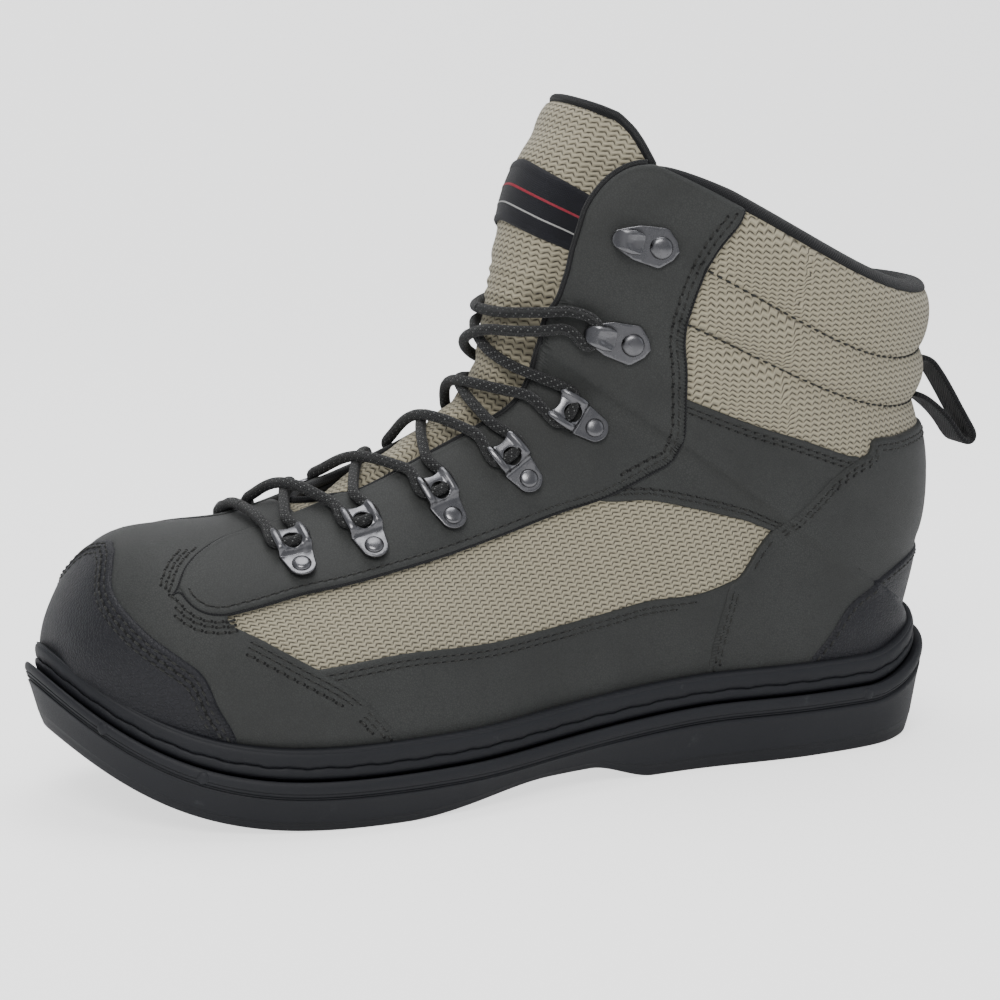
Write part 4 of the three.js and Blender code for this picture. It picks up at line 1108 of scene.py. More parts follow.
    def turned(self, points, faces, row, turn):
        normals = last().normal(row, turn)
        tri = np.array([f[:3] for f in faces])
        cross = np.cross(points[tri[:, 1]] - points[tri[:, 0]], points[tri[:, 2]] - points[tri[:, 0]])
        flip = (cross * normals[tri[:, 0]]).sum(1) < 0
        return [f[::-1] if back else f for f, back in zip(faces, flip)]


def cap_line():
    """The toe cap's seam, from the ridge to the base."""
    return to_edge(*to_edge(*seam_line("toe_cap", after=0.01), False, 0.0), True, 2.0)


def toe_edge():
    row, turn = cap_line()
    seam = line_of(row, turn, -1)
    base = base_line(row[-1], 0.02, -1)
    tip = line_of(np.full(30, 0.02), np.linspace(2, -2, 31)[:30], -1, False)
    return np.vstack([seam, base, tip, flipped(base), flipped(seam)])


def strip_line(hand):
    """The facing's edge along the strip of vamp, from its front to the throat's end."""
    form = last()
    along = np.linspace(0.885, 0.69, 40)
    half = np.interp(along, VAMP_STRIP[:, 0], VAMP_STRIP[:, 1]) * form.width
    rows = np.arange(2.4, 6.6, 0.02)
    turns = np.linspace(0.01, 1.2, 120)
    r, t = np.meshgrid(rows, turns, indexing="ij")
    spots = form.form(r, hand * t)
    across = (spots[..., 1] - form.middle_y) * hand
    f = (form.heel_x - spots[..., 0]) / form.length
    found = []
    for i, row in enumerate(rows):
        want = np.interp(f[i], along[::-1], half[::-1])
        over = np.nonzero(across[i] >= want)[0]
        if len(over) and over[0] > 0:
            k = over[0]
            gap0, gap1 = want[k - 1] - across[i][k - 1], want[k] - across[i][k]
            found.append((row, turns[k - 1] + (turns[k] - turns[k - 1]) * gap0 / (gap0 - gap1)))
    return np.array(found)


def facing_edge(hand):
    form = last()
    row, turn = seam_line("facing")
    line = line_of(row, turn, hand)
    strip = strip_line(hand)
    # The seam ends where it meets the strip at the front.
    reach = np.interp(line[:, 0], strip[:, 0], strip[:, 1])
    past = np.nonzero((np.abs(line[:, 1]) < reach) & (line[:, 0] < 4.5))[0]
    if len(past):
        line = line[: past[0]]
    top = line[0]
    throat_rows = np.arange(THROAT_ROW + 0.02, COLLAR_ROW + 0.01, 0.05)
    opening = form.throat(throat_rows)
    strip = strip[(strip[:, 0] > line[-1, 0]) | (strip[:, 1] > abs(line[-1, 1]))]
    strip = strip[strip[:, 0] > line[-1, 0] - 0.3]
    wide = np.interp(throat_rows, strip[:, 0], strip[:, 1], right=0)
    strip = strip[strip[:, 0] < THROAT_ROW]
    inner = np.column_stack([throat_rows, np.maximum(opening, wide)])
    line_strip = line_of(strip[:, 0], strip[:, 1], hand, 0.7)
    line_throat = line_of(inner[:, 0], inner[:, 1], hand, 0.7)
    collar = line_of(np.full(8, COLLAR_ROW), np.linspace(inner[-1, 1], abs(top[1]), 10)[1:-1], hand, 0.7)
    first = line[line[:, 0] < COLLAR_ROW]
    return np.vstack([first, line_strip, line_throat, collar])


def vamp_edge():
    row, turn = seam_line("vamp", before=0.01)
    row, turn = to_edge(row, turn, False, 2.0)
    keep = row < 5.45
    stop = np.argmax(~keep) if (~keep).any() else len(row)
    row, turn = row[:stop], turn[:stop]
    seam = line_of(row, turn, -1)
    seam[:, 2] = np.abs(seam[:, 1]) > 0.7128
    top = line_of(np.full(6, row[-1]), np.linspace(turn[-1], -turn[-1], 8)[1:-1], -1, False)
    cap_row, cap_turn = cap_line()
    front = line_of(cap_row - 0.45, cap_turn, -1, False)
    base = base_line(front[-1, 0], row[0], -1)
    half = np.vstack([front, base, seam])
    return np.vstack([half, top, flipped(half)])


def side_edge():
    row, turn = seam_line("side_panel", before=0.006, after=0.012)
    front = base_line(row[-1], row[0], -1)
    down = line_of([row[-1]] * 3, np.linspace(turn[-1], 2, 5)[1:-1], -1, False)
    up = line_of([row[0]] * 3, np.linspace(2, turn[0], 5)[1:-1], -1, False)
    return np.vstack([line_of(row, turn), down, front, up])


def counter_edge(name, hand):
    row, turn = seam_line(name, after=0.01)
    row, turn = to_edge(row, turn, False, 2.0)
    row, turn = to_edge(row, turn, True, 2.0)
    seam = line_of(row, turn, hand)
    return np.vstack([seam, base_line(row[-1], row[0], hand)])


def ankle_edge():
    form = last()
    places = np.array(SEAMS["ankle_panel"]) * (form.length, form.height)
    places = np.vstack([places, places[:1]])
    line = flat_spread(rounded(places), SEAM_STEP)
    up = form.seat + form.spring(line[:, 0]) + line[:, 1]
    row, turn = form.locate(line[:, 0], up)
    return line_of(row, turn)[:-1]


@cache
def panels():
    """Every panel of the upper, from the lowest to the top one."""
    side, ankle = side_edge(), ankle_edge()
    made = {
        name: Panel(edge, height) for name, edge, height in (
            ("side_panel_outer", side, 0.0013), ("side_panel_inner", side * MIRROR, 0.0013),
            ("ankle_panel_outer", ankle, 0.0012), ("ankle_panel_inner", ankle * MIRROR, 0.0012),
            ("vamp_panel", vamp_edge(), 0.0017),
            ("counter_outer", counter_edge("counter", -1), 0.002), ("counter_inner", counter_edge("counter", 1), 0.002),
            ("facing_outer", facing_edge(-1), 0.0024), ("facing_inner", facing_edge(1), 0.0024),
            ("toe_cap", toe_edge(), 0.0028),
            ("guard_outer", counter_edge("guard", -1), 0.0031), ("guard_inner", counter_edge("guard", 1), 0.0031),
        )
    }
    # Ridges and furrows along the edge: how far in, how high and how wide.
    for name, panel in made.items():
        if name.startswith("facing"):
            panel.ridges = [(0.0024, -0.00018, 0.0006)]
            panel.stitched_twice = 9.3
        elif name == "toe_cap":
            panel.ridges = [(0.0024, -0.0002, 0.0006), (0.0042, 0.00025, 0.0012), (0.0062, -0.0002, 0.0006)]
        else:
            panel.ridges = [(0.0023, -0.00016, 0.0005), (0.0041, -0.00016, 0.0005)]
    return made


# Sole


def ring_stack(rings):
    """Points and faces of a stack of rings of equal count, closed with fans of quads, all turned outwards."""
    points = np.vstack(rings)
    count = len(rings[0])
    faces = [list(f) for f in grid_faces(len(rings), count, around=True)]
    top = (len(rings) - 1) * count
    for i in range(count // 2):
        low = [i, i + 1, count - i - 1] + ([count - i] if i else [])
        faces += [low, [top + k for k in low[::-1]]]
    return points, faces


RING = 520


def sole_ring(inset, height):
    """A ring round the sole, moved in by a share of the feather, at heights along the boot."""
    form = last()
    inset = np.asarray(inset) * sizes().feather
    flat = form.ring(RING, inset if inset.ndim else np.full(RING, inset))
    return form.place(flat[:, 0], flat[:, 1], height(flat[:, 0]))


def run_of(count):
    """How far round the sole each point of a ring is, in metres."""
    return lengths(last().ring(count, np.zeros(count)))


def layer_at(level):
    return lambda along: last().layer(along, level)


def tread_depth(along, across):
    """How deep the tread is cut at places of the sole: bars with slanted ends and a rim left whole."""
    s = sizes()
    lane = along / 0.0155 + 0.22 * np.cos(across / s.ball_width * 2 * np.pi)
    bar = ramp(0.34, 0.42, np.abs(lane - np.round(lane)))
    split = np.abs(np.abs(across) - 0.2 * s.ball_width)
    return np.maximum(bar, 1 - ramp(0.0014, 0.0024, split))


# Places of the work: each operator makes one piece or one group of like pieces


class BOOT_OT_sole(bpy.types.Operator):
    """Outsole with its tread, rounded lip and ribbed welt."""

    bl_idname = "boot.sole"
    bl_label = "Sole"

    def execute(self, context):
        s, form = sizes(), last()
        thick = s.outsole_thick
        rubber = sole_rubber()

        def between(share):
            return lambda along: form.bottom(along) * (1 - share) + form.layer(along, thick) * share

        rings = []
        # Tread: rings that shrink to the middle, cut by the pattern.
        base = form.ring(RING, np.full(RING, 0.75 * s.feather))
        centre = np.column_stack([base[:, 0].clip(0.11 * s.sole_length, 0.86 * s.sole_length), np.zeros(RING)])
        for share in np.linspace(0, 0.985, 46):
            flat = centre + (base - centre) * share
            depth = tread_depth(flat[:, 0], flat[:, 1]) * 0.0034 * (1 - ramp(0.86, 0.9, share))
            waist = ramp(0.31, 0.34, flat[:, 0] / s.sole_length) * (1 - ramp(0.5, 0.53, flat[:, 0] / s.sole_length))
            rings.append(form.place(flat[:, 0], flat[:, 1], form.bottom(flat[:, 0]) + depth * (1 - waist)))
        profile = [
            (0.78, 0.0), (0.7, 0.02), (0.66, 0.06), (0.57, 0.16), (0.5, 0.26), (0.485, 0.262), (0.47, 0.29),
            (0.4, 0.42), (0.3, 0.6), (0.22, 0.74), (0.14, 0.85), (0.1, 0.9), (0.16, 0.93), (0.2, 0.955), (0.3, 0.97),
        ]
        rings += [sole_ring(inset, between(share)) for inset, share in profile]
        rings.append(sole_ring(0.6, layer_at(thick - 0.0002)))
        link("outsole_tread", mesh_of("outsole_tread", *ring_stack(rings)), rubber, "sole_rubber", "outsole")

        # The lip: a full round with a parting line below its middle.
        low, tall = thick, form.welt_bottom - thick
        lip = [(0.5, low - 0.0012), (0.16, low - 0.0008), (0.06, low - 0.0002)]
        angle = np.linspace(-1.2, 1.45, 17)
        middle, half = low + 0.5 * tall, 0.5 * tall + 0.0004
        lip += [(0.19 - 0.19 * math.cos(a), middle + half * math.sin(a)) for a in angle]
        lip += [(0.34, form.welt_bottom + 0.0001), (0.52, form.welt_bottom - 0.0004), (0.7, form.welt_bottom - 0.0008)]
        rings = []
        for inset, level in lip:
            rings.append(sole_ring(inset, layer_at(level)))
            if abs(level - middle + 0.3 * tall) < 0.0002:
                # The parting line.
                rings.append(sole_ring(inset + 0.05, layer_at(level + 0.0003)))
        link("midsole_lip", mesh_of("midsole_lip", *ring_stack(rings)), rubber, "sole_rubber", "midsole")

        # The welt: two ribs with a wavy slit between them, and the rim that cups the upper.
        bottom, tall = form.welt_bottom, s.welt_thick
        run = run_of(RING)
        wave = 0.00011 * np.sin(run / 0.0047 * 2 * np.pi) + 0.00022 * np.sin(run / 0.013 * 2 * np.pi + 1)
        swell = 0.012 * np.sin(run / 0.0063 * 2 * np.pi)
        ribs = [
            (0.72, -0.08, 0), (0.6, 0.02, 0), (0.5, 0.05, 0), (0.44, 0.1, 0), (0.41, 0.17, 0.3), (0.41, 0.25, 0.6),
            (0.43, 0.34, 1), (0.46, 0.385, 1), (0.52, 0.4, 1), (0.56, 0.41, 1), (0.52, 0.42, 1), (0.46, 0.44, 1),
            (0.44, 0.5, 1), (0.42, 0.58, 0.5), (0.42, 0.68, 0), (0.44, 0.78, 0), (0.47, 0.84, 0), (0.5, 0.865, 0),
            (0.49, 0.885, 0), (0.5, 0.93, 0), (0.56, 0.975, 0), (0.66, 1.0, 0), (0.8, 1.0, 0), (0.92, 0.985, 0),
            (1.0, 0.95, 0), (1.02, 0.88, 0), (1.02, 0.72, 0),
        ]
        rings = []
        for inset, share, moved in ribs:
            ring = sole_ring(np.full(RING, inset) + swell * moved, layer_at(bottom + share * tall))
            ring[:, 2] += wave * moved
            rings.append(ring)
        link("welt_ribs", mesh_of("welt_ribs", *ring_stack(rings)), rubber, "sole_rubber", "welt")

        # Small round cleats moulded on the side of the lip.
        cleats = Gather()
        flat = form.ring(RING, np.full(RING, 0.05 * s.feather))
        outward = unit(np.cross(np.gradient(np.column_stack([flat, np.zeros(RING)]), axis=0), (0, 0, 1)))
        for along, level in CLEATS:
            for hand in (1, -1):
                side = np.nonzero(flat[:, 1] * hand < 0)[0]
                k = side[np.argmin(np.abs(flat[side, 0] - along * s.sole_length))]
                spot = form.place(flat[k, 0], flat[k, 1], form.layer(flat[k, 0], level))
                way = Vector((-outward[k][0], outward[k][1], 0)).normalized()
                cleats.add(*dome(spot, -way if way.y * hand > 0 else way, 0.0021, 0.0009))
        link("sole_cleats", cleats.mesh("sole_cleats"), rubber, "sole_rubber")
        return {"FINISHED"}


CLEATS = ((0.958, 0.0145), (0.875, 0.0145), (0.12, 0.0148))


def dome_faces(rings, sides):
    """Faces of a round head: a top point, then rings down from it."""
    faces = [[0, 1 + j, 1 + (j + 1) % sides] for j in range(sides)]
    return faces + grid_faces(rings, sides, 1, around=True).tolist()


def dome(spot, way, radius, height, sides=14, rings=5):
    """A round bump that stands on a spot."""
    way = Vector(way).normalized()
    one = way.orthogonal().normalized()
    two = way.cross(one)
    spot = np.array(spot)
    points = [spot + np.array(way) * height]
    for k in range(1, rings + 1):
        a = k / rings * np.pi / 2
        for j in range(sides):
            b = 2 * np.pi * j / sides
            across = np.array(one) * math.cos(b) + np.array(two) * math.sin(b)
            points.append(spot + across * radius * math.sin(a) + np.array(way) * height * math.cos(a))
    return np.array(points), dome_faces(rings, sides)


# Upper


def form_grid(rows, columns, out, hand):
    """A sheet over the form: each row's columns are turns, and out how far it stands off."""
    form = last()
    turn = np.array([columns(r) for r in rows])
    row = np.broadcast_to(np.asarray(rows)[:, None], turn.shape)
    distance = out(row, turn)
    return form.skin(row, hand * turn, distance), row, turn


def knit_uv(points, row, turn, hand):
    """Metres along and up for the knit, whose rows climb along the foot and lie level round the leg."""
    form = last()
    along = form.heel_x - points[..., 0]
    run = np.array([lengths(line) for line in points[..., :2]])
    widest = form.form(row, np.where(np.abs(turn) < 1, hand * 1.0, turn))
    over = np.where(np.abs(turn) < 1, np.abs(points[..., 1] - widest[..., 1]) * 0.8, 0)
    up = points[..., 2] + over
    # Two cloths: one climbs along the foot, one lies level round the leg, and the ankle's panel covers their join.
    share = (points[..., 2] - form.seat) / form.height
    foot = np.where(share < 0.385 + 0.55 * (along / form.length - 0.17), 0.31, 0.0)
    around = np.where(foot > 0, along, along[:, :1] - run)
    return np.stack([(around - foot * up) * hand, up + foot * along], -1).reshape(-1, 2)


def shell_rows():
    return np.unique(np.concatenate([
        np.linspace(0, 8, 90), np.linspace(8, 12, 64), np.linspace(12, 16, 74),
        [THROAT_ROW, 13.975, 14, 14.025, 14.975, 15, 15.025],
        THROAT_ROW + 0.5 * np.linspace(0, 1, 9) ** 2,
    ]))


class BOOT_OT_upper(bpy.types.Operator):
    """Hollow shell of knitted mesh with its quilted collar."""

    bl_idname = "boot.upper"
    bl_label = "Upper"

    def execute(self, context):
        form = last()
        rows = shell_rows()
        share = np.linspace(0, 1, 76)

        def columns(row):
            start = form.throat(row)
            return start + (2 - start) * share

        shell = Gather()
        for hand in (-1, 1):
            outer, row, turn = form_grid(rows, columns, form.padding, hand)
            inner, _, _ = form_grid(rows, columns, lambda r, t: -form.thickness(r, t), hand)
            uv = knit_uv(outer, row, turn, hand)
            quads = grid_faces(len(rows), len(share), flip=hand < 0)
            shell.add(outer.reshape(-1, 3), quads, uv, 0)
            shell.add(inner.reshape(-1, 3), quads[:, ::-1], uv, 1)
            # Close the throat's edge, the collar and the seat.
            opened, seated = rows > THROAT_ROW - 1e-9, rows < BACK_ROW + 1e-9
            for way, line in ((1, (opened, 0)), (-1, (seated, len(share) - 1)), (-1, (len(rows) - 1, slice(None)))):
                a, b = outer[line], inner[line]
                m = len(a)
                strip = [[k, k + 1, m + k + 1, m + k] for k in range(m - 1)]
                shell.add(np.vstack([a, b]), strip if way * hand > 0 else [q[::-1] for q in strip], None, 1)
        mesh = turned_out(shell.mesh("knit_upper", weld=2e-6))
        link("knit_upper", mesh, [knit_cloth(), lining_cloth()], "mesh_cloth", "upper")
        return {"FINISHED"}


def tongue_out(row, turn):
    """How far under the form the tongue's face lies."""
    edge = last().throat(np.minimum(row, 15.4))
    under = np.maximum(ramp(edge - 0.16, edge - 0.03, turn), 1 - ramp(5.7, 6.3, row))
    return -0.0006 - (sizes().wall + 0.0012) * under


class BOOT_OT_tongue(bpy.types.Operator):
    """Padded tongue with its lining edge and a bare stitched patch."""

    bl_idname = "boot.tongue"
    bl_label = "Tongue"

    def execute(self, context):
        form, s = last(), sizes()
        top = COLLAR_ROW + 0.42
        rows = np.concatenate([np.linspace(5.1, 6.4, 18), np.linspace(6.4, top, 92)[1:]])
        share = np.linspace(-1, 1, 57)
        thick = s.tongue_thick

        def columns(row):
            edge = np.maximum(form.throat(min(row, 15.4)), 0.1) + 0.12
            close = np.sqrt(np.clip((top + 0.02 - row) / 0.5, 0, 1))
            return edge * (0.55 + 0.45 * close) * share

        turn = np.array([columns(r) for r in rows])
        row = np.broadcast_to(rows[:, None], turn.shape)
        edge = np.abs(share)[None, :]
        rim = np.sqrt(np.clip((1 - edge) / 0.1, 0, 1)) * np.sqrt(np.clip((top - row) / 0.14, 0, 1))
        soft = 0.00035 * np.sin(row * 9.0 + turn * 7.0) * rim
        out = tongue_out(row, np.abs(turn))
        middle = out - thick / 2
        face = form.skin(row, turn, middle + (thick / 2 + soft) * rim)
        back = form.skin(row, turn, middle - thick / 2 * rim)
        uv = np.column_stack([turn.ravel() * 0.075, np.repeat(lengths(face[:, 28]), len(share))])
        tongue = Gather()
        quads = grid_faces(len(rows), len(share))
        tongue.add(face.reshape(-1, 3), quads, uv, 0)
        tongue.add(back.reshape(-1, 3), quads[:, ::-1], uv, 1)
        mesh = turned_out(tongue.mesh("tongue_pad", weld=2e-6))
        piece = link("tongue_pad", mesh, [knit_cloth(), lining_cloth()], "mesh_cloth", "tongue")

        # The edge is bound with a folded tape.
        edge_turn = np.concatenate([turn[40:, 0], turn[-1], turn[40:, -1][::-1]])
        edge_row = np.concatenate([rows[40:], np.full(len(share), top), rows[40:][::-1]])
        path = form.skin(edge_row, edge_turn, tongue_out(edge_row, np.abs(edge_turn)) - thick / 2)
        bound = Gather()
        bound.add(*tube(spread(path, 0.002), 0.0019, 12))
        link("tongue_binding", bound.mesh("tongue_binding"), lining_cloth(), "lining", "tongue")

        # The patch: folded black cloth with two plain lines along it.
        share, turn = np.meshgrid(np.linspace(0, 1, 76), np.linspace(-0.44, 0.44, 60), indexing="ij")
        row = 14.58 + 0.87 * share - 0.47 * np.sqrt(turn**2 + 0.003)
        near = np.minimum(np.minimum(share, 1 - share) * 0.018, (0.44 - np.abs(turn)) * 0.055)
        bulge = np.sqrt(np.clip(near / 0.0009, 0, 1)) - 0.25 * ramp(0.0018, 0.0024, near)
        red, pale = (ramp(wide, wide * 0.6, np.abs(share - at)) for at, wide in ((0.6, 0.03), (0.3, 0.022)))
        out = tongue_out(row, np.abs(turn)) + 0.0002 + 0.0011 * bulge + 0.00016 * (red + pale)
        quads = grid_faces(*row.shape)
        uv = np.column_stack([turn.ravel() * 0.055, share.ravel() * 0.018])
        kinds = np.where(red > 0.3, 1, np.where(pale > 0.3, 2, 0)) * (near > 0.0026)
        kinds = kinds[:-1, :-1].reshape(-1)
        patch = Gather()
        for kind in range(3):
            patch.add(form.skin(row, turn, out).reshape(-1, 3), quads[kinds == kind], uv, kind)
        finishes = [
            woven("patch_cloth", colours().cap, 0.0006, 0.00012), patch_line("patch_line_red", colours().stripe),
            patch_line("patch_line_pale", (0.42, 0.42, 0.41)),
        ]
        link("tongue_patch_plate", patch.mesh("tongue_patch_plate", weld=1e-6), finishes, "lining", "tongue_patch")
        return {"FINISHED"}


def patch_line(name, colour):
    return leather_like(name, colour, 1400.0, 0.00008, 0.6, 0.05, 0.1)


class BOOT_OT_bindings(bpy.types.Operator):
    """Rolled bindings of the collar and of the throat's edges, and a thin dark cord of painted shadow along the
    facings' stitched edges.
    """

    bl_idname = "boot.bindings"
    bl_label = "Bindings"

    def execute(self, context):
        form = last()
        start = 0.55
        turns = np.concatenate([np.linspace(-start, -2, 90), np.linspace(2, start, 90)[1:]])
        angle = np.radians(np.linspace(-35, 215, 21))
        sheet, uv = [], []
        wall = form.thickness(np.full(len(turns), 16.0), turns)
        run = np.abs(np.abs(turns) - start) * 0.055
        ends = np.sqrt(np.clip(run / 0.012, 0.02, 1))
        for a in angle:
            across = -wall / 2 + (wall / 2 + 0.0013 * ends) * math.cos(a)
            row = COLLAR_ROW - 0.02 + (0.17 * math.sin(a) if a > 0 else 0.1 * math.sin(a)) * ends
            sheet.append(form.skin(row, turns, across))
            uv.append(np.column_stack([np.full(len(turns), a * 0.003), np.cumsum(np.full(len(turns), 0.0018))]))
        points = np.array(sheet)
        bound = Gather()
        bound.add(points.reshape(-1, 3), grid_faces(len(angle), len(turns)), np.vstack(uv))
        mesh = turned_out(bound.mesh("collar_roll", weld=1e-6))
        link("collar_roll", mesh, lining_cloth(), "lining", "collar_binding")

        # A thin roll lines the facing's edge round the throat.
        rolls = Gather()
        rows = np.concatenate([THROAT_ROW + 0.5 * np.linspace(0, 1, 12) ** 2, np.arange(6.1, 16.01, 0.08)])
        for hand in (-1, 1):
            turn = hand * np.maximum(form.throat(rows) - 0.004, 0)
            path = spread(form.skin(rows, turn, np.full(len(rows), 0.0002)), 0.0016)
            rolls.add(*tube(path, 0.00145, 12))
            # A thin dark cord along the facing's stitched edge: a painted shadow line at the foot of that edge.
            edge = panels()["facing_outer" if hand < 0 else "facing_inner"].edge
            front = np.nonzero((edge[:, 2] > 0.9) | ((edge[:, 2] > 0.6) & (edge[:, 0] < 5.2)))[0]
            path = form.skin(edge[front, 0], edge[front, 1], form.padding(edge[front, 0], edge[front, 1]) + 0.0014)
            rolls.add(*tube(smooth_path(path, 4), 0.00055, 8))
        link("throat_roll_and_shadow_cord", rolls.mesh("throat_roll_and_shadow_cord"), lining_cloth(), "lining")
        return {"FINISHED"}


class BOOT_OT_panels(bpy.types.Operator):
    """Leather panels, toe cap and heel guard, each with rounded cut edges."""

    bl_idname = "boot.panels"
    bl_label = "Panels"

    def execute(self, context):
        for name, panel in panels().items():
            part = name.split("_")[0]
            capped = part in ("toe", "guard")
            node = {"counter": "counter_panel", "guard": "heel_guard"}.get(part, name)
            finish, slot = (cap_leather(), "cap_rubber") if capped else (panel_leather(), "panel_leather")
            link(name + "_sheet", panel.mesh(name + "_sheet"), finish, slot, node)
        return {"FINISHED"}


# Stitching


def seam_at(panel, distance):
    """Stretches of a panel's cut edge moved in by a distance, or out over the vamp, as points and normals."""
    form = last()
    row, turn = offset_line(panel.edge, panel.way, distance)
    turn = np.clip(turn, -2, 2)
    spots = form.form(row, turn)
    clear = apart(tree_of(panel.points), spots) > abs(distance) * (0.95 if distance > 0 else 0.86)
    clear &= panel.edge[:, 2] > (0.9 if distance > 0 else 0.6)
    out = form.padding(row, turn) + panel.height * panel.depth_of(np.full(len(row), distance)) * panel.taper(turn)
    if panel.stitched_twice is not None and distance > 0.0045:
        clear &= row > panel.stitched_twice
    if distance < 0:
        clear &= (form.heel_x - spots[:, 0] > 0.834 * form.length) & (np.abs(turn) > 0.24)
        out = np.full(len(row), 0.0017)
    points, normals = form.skin(row, turn, out), form.normal(row, turn)
    if clear.all():
        return [(points, normals)]
    order = np.roll(np.arange(len(clear)), -int(np.argmin(clear)))
    breaks = np.nonzero(np.diff(clear[order].astype(int)))[0] + 1
    found = [run for run in np.split(order, breaks) if clear[run[0]]]
    return [(points[r], normals[r]) for r in found if len(r) > 6]


def smooth_path(path, times=2):
    for _ in range(times):
        path = path.copy()
        path[1:-1] = (path[:-2] + 2 * path[1:-1] + path[2:]) / 4
    return path


def stitch_row(gathered, path, normals, tilt=0.1, holes=True):
    """Threads at even steps along a path, on leather each sunk at its ends into a small dark disc of painted shade for
    its hole.
    """
    s = stitches()
    path = smooth_path(path)
    steps = lengths(path)
    count = int(steps[-1] / s.pitch)
    if count < 1:
        return
    at = (np.arange(count) + 0.5) * (steps[-1] / count)
    spots = at_steps(at, steps, path)
    out = unit(at_steps(at, steps, normals))
    along = at_steps(at + 0.0004, steps, path) - at_steps(at - 0.0004, steps, path)
    along = unit(along - out * (along * out).sum(1)[:, None])
    across = np.cross(out, along)
    # One thread: a bowed capsule.
    sides, cuts = 6, np.array([-1.0, -0.86, -0.45, 0.0, 0.45, 0.86, 1.0])
    wide = np.array([0.25, 0.8, 1.0, 1.06, 1.0, 0.8, 0.25])
    lift = np.array([-0.75, -0.15, 0.3, 0.42, 0.3, -0.15, -0.75])
    angle = np.linspace(0, 2 * np.pi, sides, endpoint=False)
    half, thick = s.length / 2, s.thread / 2
    local = np.array([
        (c * half, thick * w * math.cos(a), thick * (w * math.sin(a) + h))
        for c, w, h in zip(cuts, wide, lift) for a in angle
    ])
    faces = grid_faces(len(cuts), sides, around=True)
    lean = along * math.cos(tilt) + across * math.sin(tilt)
    aside = np.cross(out, lean)
    points = spots[:, None] + sum(local[None, :, k : k + 1] * way[:, None] for k, way in enumerate((lean, aside, out)))
    all_faces = (faces[None] + (np.arange(count) * len(local))[:, None, None]).reshape(-1, 4)
    gathered.add(points.reshape(-1, 3), all_faces, None, 0)
    if not holes:
        return
    # A shallow dark disc of painted shade at each end, for the hole.
    ring = np.linspace(0, 2 * np.pi, 8, endpoint=False)
    disc = np.array([(0.0, 0.0)] + [(math.cos(a), math.sin(a)) for a in ring])
    fan = np.array([[0, 1 + j, 1 + (j + 1) % 8] for j in range(8)])
    centres = np.vstack([spots + lean * (half + 0.00012), spots - lean * (half + 0.00012)])
    one, two, up = np.vstack([lean, lean]), np.vstack([aside, aside]), np.vstack([out, out])
    rim = centres[:, None] + disc[None, :, 0:1] * one[:, None] * 0.0006 + disc[None, :, 1:2] * two[:, None] * 0.00052
    rim = rim + up[:, None] * 0.00005
    rim[:, 0] -= up * 0.00002
    fans = (fan[None] + (np.arange(2 * count) * 9)[:, None, None]).reshape(-1, 3)
    gathered.add(rim.reshape(-1, 3), fans, None, 1)


STITCH_ROWS = {
    "facing": (0.0024, 0.0046, -0.0022, -0.0038, -0.0056), "vamp": (0.0023, 0.0041, 0.0062),
    "side": (0.0023, 0.0041), "ankle": (0.0022, 0.0038), "counter": (0.0023, 0.0041),
    "toe": (0.0024, 0.0042, 0.0062), "guard": (0.0023,),
}


class BOOT_OT_stitching(bpy.types.Operator):
    """Rows of stitches along every cut edge and along the quilting of the collar."""

    bl_idname = "boot.stitching"
    bl_label = "Stitching"

    def execute(self, context):
        form = last()
        for side in ("outer", "inner", "middle"):
            rows = Gather()
            for part, distances in STITCH_ROWS.items():
                for name, panel in panels().items():
                    where = name.split("_")[-1]
                    if name.startswith(part) and side == (where if where in ("outer", "inner") else "middle"):
                        for distance in distances:
                            for path, normals in seam_at(panel, distance):
                                stitch_row(rows, path, normals)
            hand = {"outer": -1, "inner": 1}.get(side)
            if hand:
                for row in (14, 15):
                    turns = np.linspace(0.66, 1.995, 120) * hand
                    line = np.full(len(turns), float(row))
                    path = form.skin(line, turns, np.full(len(line), 0.0004))
                    stitch_row(rows, path, form.normal(line, turns), holes=False)
            link("stitches_" + side, rows.mesh("stitches_" + side), [stitch_thread(), painted_shade_hole()], "panel_leather")
        return {"FINISHED"}


# Hardware: places on the form from the toe up, as row, turn and the lean of the plate in degrees

LOOP_PLACES = (
    (5.12, 0.328, -7.9), (5.87, 0.36, -4.4), (6.84, 0.391, -2.5), (8.03, 0.423, -0.4), (9.72, 0.456, 5.2),
)
HOOK_PLACES = ((12.46, 0.529, 10.7), (14.92, 0.57, 11.1))
LOOP_SCALE, HOOK_SCALE = 0.00112, 0.0012
PLATE_OUT = 0.0025


def stance(place, hand, out=PLATE_OUT):
    """The spot of a plate and its ways: to the throat, across, and out of the leather."""
    form = last()
    row, turn, lean = place
    spot = form.skin(np.array(row), np.array(hand * turn), np.array(out))
    normal = form.normal(np.array(row), np.array(hand * turn))
    up = form.skin(np.array(row), np.array(hand * (turn - 0.02)), np.array(0.0)) - form.skin(
        np.array(row), np.array(hand * (turn + 0.02)), np.array(0.0)
    )
    up = unit(up - normal * up.dot(normal))
    side = np.cross(normal, up)
    a = math.radians(lean) * -hand
    return spot, up * math.cos(a) + side * math.sin(a), side * math.cos(a) - up * math.sin(a), normal


def placed_at(local, place, hand, out=PLATE_OUT):
    spot, up, side, normal = stance(place, hand, out)
    return spot + local[:, 0:1] * up + local[:, 1:2] * side + local[:, 2:3] * normal


